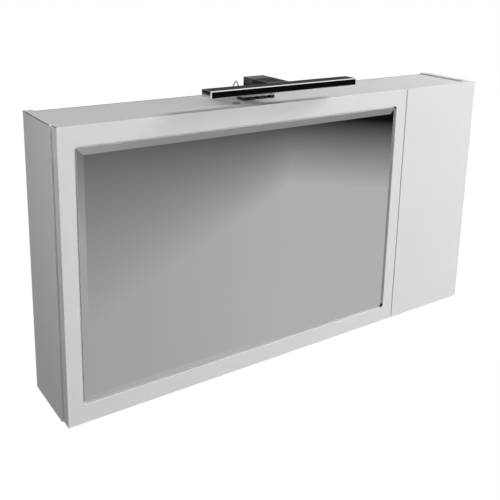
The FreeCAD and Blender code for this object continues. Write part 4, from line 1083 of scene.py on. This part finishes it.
@dataclass
class Lamp(SubAssembly):
    """The lamp over the mirror: bar, arm, foot, lead and the terminal box that it runs to."""

    arris: float = 0.3 * MM
    shortest: float = 2.0 * MM
    arm_arris: float = 0.15 * MM
    box_arris: float = 0.6 * MM
    grommet_edge: float = 0.2 * MM

    def build(self) -> None:
        """Builds the bar, the arm with its foot, and the lead's way."""
        self.bar()
        self.arm()
        self.lead()

    def bar(self) -> None:
        """Builds the chromed bar with its end caps, diffuser and light chips."""
        for node in ("lamp_bar_housing", "lamp_end_caps"):
            self.soften(node, CHROME, "lamp_chrome", self.arris, self.shortest)
        self.soften("lamp_diffuser", OPAL, "opal_diffuser", self.arris, self.shortest)
        self.coat("lamp_led_board", BOARD_COAT)
        self.coat("lamp_leds", PHOSPHOR)
        self.coat("lamp_bar_screws", PLATED_STEEL)

    def arm(self) -> None:
        """Builds the arm's cover and tray, the foot and its screws."""
        self.soften("lamp_arm_cover", ARM_CHROME, "lamp_chrome", self.arm_arris, self.shortest)
        self.soften("lamp_arm_tray", BLACK_PLASTIC, "lamp_black", self.arris, self.shortest)
        self.soften("lamp_foot", CHROME, "lamp_chrome", self.arris, self.shortest)
        self.soften("lamp_foot_pads", BLACK_PLASTIC, "lamp_black", self.arris, self.shortest)
        self.coat("lamp_driver_board", SOLDER_MASK)
        seats = screw_seats("lamp_foot_screws", FOOT_SCREW, Facing.UP)
        screws = FOOT_SCREW.row("foot_screw_row", seats, PLATED_STEEL)
        self.place("lamp_foot_screws_piece", screws, "screw_steel", "lamp_foot_screws")

    def lead(self) -> None:
        """Builds the lead, its grommet and the terminal box."""
        self.soften("lamp_lead", SHEATH, "lead_sheath", self.arris, UNROUNDED)
        self.soften("lead_grommet", RUBBER, "grommet_rubber", self.arris, self.grommet_edge)
        for node in ("terminal_box", "terminal_box_lid"):
            self.soften(node, WHITE_PLASTIC, "box_plastic", self.box_arris, self.shortest)
        self.soften("terminal_strip", CLEAR_PLASTIC, "terminal_plastic", self.arris, self.shortest)


@dataclass(frozen=True)
class Softbox:
    """A square studio lamp, which shiny surfaces show only where it is said to be mirrored."""

    name: str
    place: Place
    aim: Place
    side: float
    power: float
    mirrored: bool = False

    def build(self) -> None:
        """Hangs the lamp and turns it to its aim."""
        lamp = bpy.data.lights.new(self.name, "AREA")
        lamp.size = self.side
        lamp.energy = self.power
        holder = linked(self.name, lamp)
        holder.location = self.place
        holder.rotation_euler = (Vector(self.aim) - Vector(self.place)).to_track_quat("-Z", "Y").to_euler()
        holder.visible_camera = False
        holder.visible_glossy = self.mirrored


@dataclass(frozen=True)
class PhotoCamera:
    """The camera at the photograph's angle."""

    place: Place = (-0.7919, -1.1177, 0.2821)
    azimuth: float = -34.622
    elevation: float = 13.744
    roll: float = 1.311
    focal_share: float = 1.4676
    shift_up: float = -0.22
    nearest: float = 0.02

    def build(self) -> None:
        """Sets the camera up and makes it the scene's own."""
        lens = bpy.data.cameras.new("photo_camera")
        lens.sensor_width = SENSOR
        lens.lens = self.focal_share * SENSOR
        lens.shift_y = self.shift_up
        lens.clip_start = self.nearest
        holder = linked("photo_camera", lens)
        round_it, above, lean = (math.radians(angle) for angle in (self.azimuth, self.elevation, self.roll))
        level = math.cos(above)
        ahead = Vector((-math.sin(round_it) * level, math.cos(round_it) * level, -math.sin(above)))
        right = Vector((math.cos(round_it), math.sin(round_it), 0.0))
        up = right.cross(ahead)
        leant_right = right * math.cos(lean) + up * math.sin(lean)
        leant_up = leant_right.cross(ahead)
        turn = Matrix((leant_right, leant_up, -ahead)).transposed()
        holder.matrix_world = Matrix.Translation(self.place) @ turn.to_4x4()
        bpy.context.scene.camera = holder


@dataclass(frozen=True)
class MirroredRoom:
    """The graded studio that mirrors and chrome show.

    Below, a lit floor fades to a dark edge, faster to the right than to the left. Above the edge the front
    wall is grey, the back is dark and the ceiling is bright. Heights and depths are those of the direction
    looked in, and a place to the side is its X over its depth. Pairs go from left to right, from front to
    back or from low to high.
    """

    least_depth: float = 0.05
    dark_edge: float = 0.203
    floor_sides: Span = (0.4, 0.78)
    floor_tones: Span = (0.395, 0.48)
    floor_bends: Span = (0.64, 1.0)
    left_sides: Span = (0.12, 0.28)
    left_fades: Span = (0.16, 0.26)
    right_fade: float = 0.09
    haze_sides: Span = (0.25, 0.5)
    haze_tones: Span = (0.1, 0.006)
    haze_shares: Span = (1.0, 0.3)
    wall_heights: Span = (-0.1, 0.09)
    wall_tone: float = 0.34
    wall_shares: Span = (1.0, 0.2)
    back_depths: Span = (-0.15, 0.15)
    ceiling_heights: Span = (0.2, 0.6)
    ceiling_tone: float = 0.95

    def tone(self, sheet: NodeSheet) -> Socket:
        """Grades the room.

        Args:
            sheet: the world's node tree.

        Returns:
            The tone for the direction looked in.
        """
        way = sheet.add("ShaderNodeTexCoord").outputs["Generated"]
        x, y, z = sheet.add("ShaderNodeSeparateXYZ", {0: way}).outputs
        depth = sheet.math("MAXIMUM", sheet.math("MULTIPLY", y, -1.0), self.least_depth)
        aside = sheet.math("DIVIDE", x, depth)
        to_right = sheet.ramp(aside, self.floor_sides, UNIT)
        left_fade = sheet.ramp(aside, self.left_sides, self.left_fades)
        reach = sheet.ramp(to_right, UNIT, (left_fade, self.right_fade))
        bright_edge = sheet.math("ADD", reach, self.dark_edge)
        below = sheet.math("MULTIPLY", z, -1.0)
        rise = sheet.ramp(below, (self.dark_edge, bright_edge), UNIT)
        fade = sheet.math("POWER", rise, sheet.ramp(to_right, UNIT, self.floor_bends))
        floor = sheet.math("MULTIPLY", fade, sheet.ramp(to_right, UNIT, self.floor_tones))
        haze_share = sheet.ramp(y, self.back_depths, self.haze_shares)
        haze = sheet.math("MULTIPLY", sheet.ramp(aside, self.haze_sides, self.haze_tones), haze_share)
        wall_share = sheet.ramp(y, self.back_depths, self.wall_shares)
        wall = sheet.ramp(z, self.wall_heights, (0.0, self.wall_tone), Slope.SOFT)
        ceiling = sheet.ramp(z, self.ceiling_heights, (0.0, self.ceiling_tone))
        upper = sheet.math("ADD", sheet.math("MULTIPLY", wall, wall_share), ceiling)
        return sheet.math("ADD", sheet.math("MAXIMUM", floor, haze), upper)


@dataclass
class Stage:
    """The pale studio: floor, world, lamps and camera."""

    floor_height: float = -1.65
    floor_reach: float = 9.0
    floor_grey: float = 0.85
    floor_glow: float = 1.03
    shadow_reach: Span = (1.2, 2.4)
    shadow_white: Span = (0.93, 1.0)
    ambient: float = 0.125
    white: float = 1.0
    room: MirroredRoom = MirroredRoom()
    lamps: tuple[Softbox, ...] = (
        Softbox("key_box", (1.0, -2.55, 0.5), (0.1, -0.1, -0.15), 1.2, 31.5),
        Softbox("fill_box", (-0.6, -2.6, -0.2), (0.1, -0.1, -0.15), 1.5, 3.5),
        Softbox("rake_box", (2.35, -0.775, 1.5), (0.1, -0.1, 0.0), 0.75, 68.0),
        Softbox("top_box", (0.5, -0.6, 1.5), (0.1, -0.1, 0.0), 0.8, 2.2),
        Softbox("left_box", (-0.95, -0.3, 0.2), (-0.45, -0.06, 0.0), 0.3, 1.15),
        Softbox("back_box", (0.4, 2.2, -0.4), (0.0, 0.0, -0.2), 1.2, 30.0),
        Softbox("edge_lamp", (-0.5447, -0.3704, 0.0068), (-0.209, -0.165, 0.0785), 0.016, 0.0008, True),
    )

    def build(self) -> None:
        """Lays the floor, lights the world, hangs the lamps and sets the camera."""
        bpy.context.scene.view_settings.view_transform = "Standard"
        self.floor()
        self.world()
        for lamp in self.lamps:
            lamp.build()
        PhotoCamera().build()

    def floor(self) -> None:
        """Lays the floor, white to the eye and pale to the light, with the shadow that falls on it."""
        signs = ((-1, -1), (1, -1), (1, 1), (-1, 1))
        corners = [(x * self.floor_reach, y * self.floor_reach, self.floor_height) for x, y in signs]
        mesh = bpy.data.meshes.new("studio_floor")
        mesh.from_pydata(corners, [], [(0, 1, 2, 3)])
        material = bpy.data.materials.new("studio_floor")
        material.use_nodes = True
        sheet = NodeSheet(material.node_tree)
        paint = sheet.add("ShaderNodeBsdfDiffuse", {"Color": (*[self.floor_grey] * 3, 1.0)})
        glow = sheet.add("ShaderNodeEmission", {"Strength": self.floor_glow})
        place = sheet.add("ShaderNodeTexCoord").outputs["Object"]
        level = sheet.add("ShaderNodeVectorMath", {0: place, 1: (1.0, 1.0, 0.0)}, operation="MULTIPLY")
        away = sheet.add("ShaderNodeVectorMath", {0: level.outputs[0]}, operation="LENGTH").outputs["Value"]
        white = sheet.ramp(away, self.shadow_reach, self.shadow_white)
        share = sheet.math("MULTIPLY", sheet.seen(), white)
        both = sheet.add("ShaderNodeMixShader", {0: share, 1: paint.outputs[0], 2: glow.outputs[0]})
        sheet.add("ShaderNodeOutputMaterial", {"Surface": both.outputs[0]})
        mesh.materials.append(material)
        floor = linked("studio_floor", mesh)
        floor.visible_glossy = False

    def world(self) -> None:
        """Lights the world: white to the eye, even to matt surfaces and a graded studio to shiny ones."""
        world = bpy.data.worlds.new("studio")
        world.use_nodes = True
        bpy.context.scene.world = world
        sheet = NodeSheet(world.node_tree)
        shiny = sheet.add("ShaderNodeLightPath").outputs["Is Glossy Ray"]
        tone = sheet.ramp(shiny, UNIT, (self.ambient, self.room.tone(sheet)))
        strength = sheet.ramp(sheet.seen(), UNIT, (tone, self.white))
        light = sheet.add("ShaderNodeBackground", {"Color": (1.0, 1.0, 1.0, 1.0), "Strength": strength})
        sheet.add("ShaderNodeOutputWorld", {"Surface": light.outputs[0]})


def main() -> None:
    """Builds the cabinet's sub-assemblies in order and sets the stage."""
    logging.basicConfig(level=logging.INFO, format="%(message)s")
    parts = (
        Carcass("carcass"),
        MirrorDoor("mirror_door"),
        SideDoor("side_door"),
        HingeSet("carcass", "mirror_door", Facing.RIGHT),
        HingeSet("carcass", "side_door", Facing.LEFT),
        PushLatch("carcass", "mirror", "mirror_door"),
        PushLatch("carcass", "side", "side_door"),
        LatchScrews("carcass"),
        Lamp("carcass"),
    )
    for part in parts:
        part.build()
    Stage().build()


if __name__ == "__main__":
    main()
